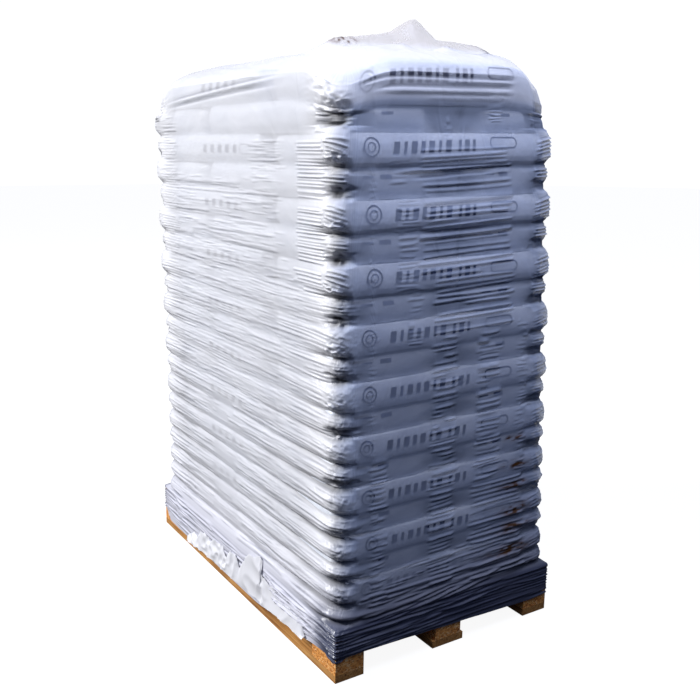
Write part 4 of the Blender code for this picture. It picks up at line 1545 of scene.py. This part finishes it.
bpy.ops.mesh.primitive_plane_add(size=60.0, location=(0, 0, -0.0005))
floor = bpy.context.object
floor.name = "pale_floor"
floor.data.materials.append(stage_material("pale_floor_paint", "#7C7C7C", 4.6))
floor.visible_diffuse = False
floor.visible_glossy = False
floor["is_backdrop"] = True

bpy.ops.mesh.primitive_uv_sphere_add(radius=29.0, segments=48, ring_count=24, location=(0, 0, 0))
backdrop = bpy.context.object
backdrop.name = "pale_backdrop"
backdrop.data.materials.append(stage_material("pale_backdrop_paint", "#FFFFFF", 1.0))
for way in ("visible_diffuse", "visible_glossy", "visible_transmission", "visible_volume_scatter",
            "visible_shadow"):
    setattr(backdrop, way, False)
backdrop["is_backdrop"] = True

# %% [markdown]
# ## Light
#
# A broad white lamp from the left makes the long side bright. The front faces away from it and takes the blue
# of the surroundings, brighter above and dark below, and a weak lamp close before its upper edge, so that it
# grows darker downwards.

# %% Light
def area_light(name, place, target, size, power, colour):
    data = bpy.data.lights.new(name, "AREA")
    data.shape = "DISK"
    data.size = size
    data.energy = power
    data.color = linear(colour)[:3]
    lamp = put_in_scene(name, data)
    lamp.location = place
    lamp.rotation_euler = (Vector(target) - Vector(place)).to_track_quat("-Z", "Y").to_euler()
    return lamp


LOAD_MIDDLE = (0.0, 0.0, 0.85)
area_light("key_left", (-5.6, 2.7, 4.7), LOAD_MIDDLE, 2.4, 740, "#FBFBFB")
area_light("fill_front", (-0.05, -1.25, 2.75), (0.0, -0.57, 1.3), 1.0, 31, "#D2D7EA")

world = bpy.data.worlds.new("blue_surroundings")
world.use_nodes = True
bpy.context.scene.world = world
tree = world.node_tree
sky_way = add_node(tree, "ShaderNodeTexCoord").outputs["Generated"]
up = add_node(tree, "ShaderNodeSeparateXYZ", {"Vector": sky_way}).outputs["Z"]
sky_height = add_node(tree, "ShaderNodeMapRange", {"Value": up, "From Min": -1.0,
                                                   "From Max": 1.0}).outputs["Result"]
sky = colour_steps(tree, sky_height, ((0.43, "#1E1A15"), (0.63, "#3A4F7E"), (0.91, "#C8D2EA")))
tree.links.new(sky, tree.nodes["Background"].inputs["Color"])
tree.nodes["Background"].inputs["Strength"].default_value = 0.52
bpy.context.scene.view_settings.view_transform = "Standard"

# %% [markdown]
# ## Camera
#
# The camera stands in front and to the left, at eye height, as in the photograph. A small sideways shift of
# the lens keeps the load in the middle of the frame.

# %% Camera
IMAGE_SIZE = 700
FOCAL_PIXELS = 866.9
EYE = (-1.5963, -2.3770, 1.4617)
TURN = math.radians(29.88)
TILT = math.radians(11.59)
LENS_CENTRE_X = 280
LENS_CENTRE_Y = 320

camera_data = bpy.data.cameras.new("camera")
camera = put_in_scene("camera", camera_data)
camera_data.sensor_width = 36.0
camera_data.lens = FOCAL_PIXELS * camera_data.sensor_width / IMAGE_SIZE
camera_data.shift_x = (IMAGE_SIZE / 2 - LENS_CENTRE_X) / IMAGE_SIZE
camera_data.shift_y = (LENS_CENTRE_Y - IMAGE_SIZE / 2) / IMAGE_SIZE
camera.location = EYE
camera.rotation_euler = (math.pi / 2 - TILT, 0.0, -TURN)
bpy.context.scene.camera = camera
print("lens", round(camera_data.lens, 1), "mm")
print("shift", round(camera_data.shift_x, 3), "across and", round(camera_data.shift_y, 3), "up")

# %% [markdown]
# ## Size
#
# At the end the box round everything shown, but for the floor and backdrop, is printed. The dressed part
# has to stay the size of the solids.

# %% Size
bpy.context.view_layer.update()
low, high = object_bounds()
print("visual box", [round(v, 3) for v in (*low, *high)])
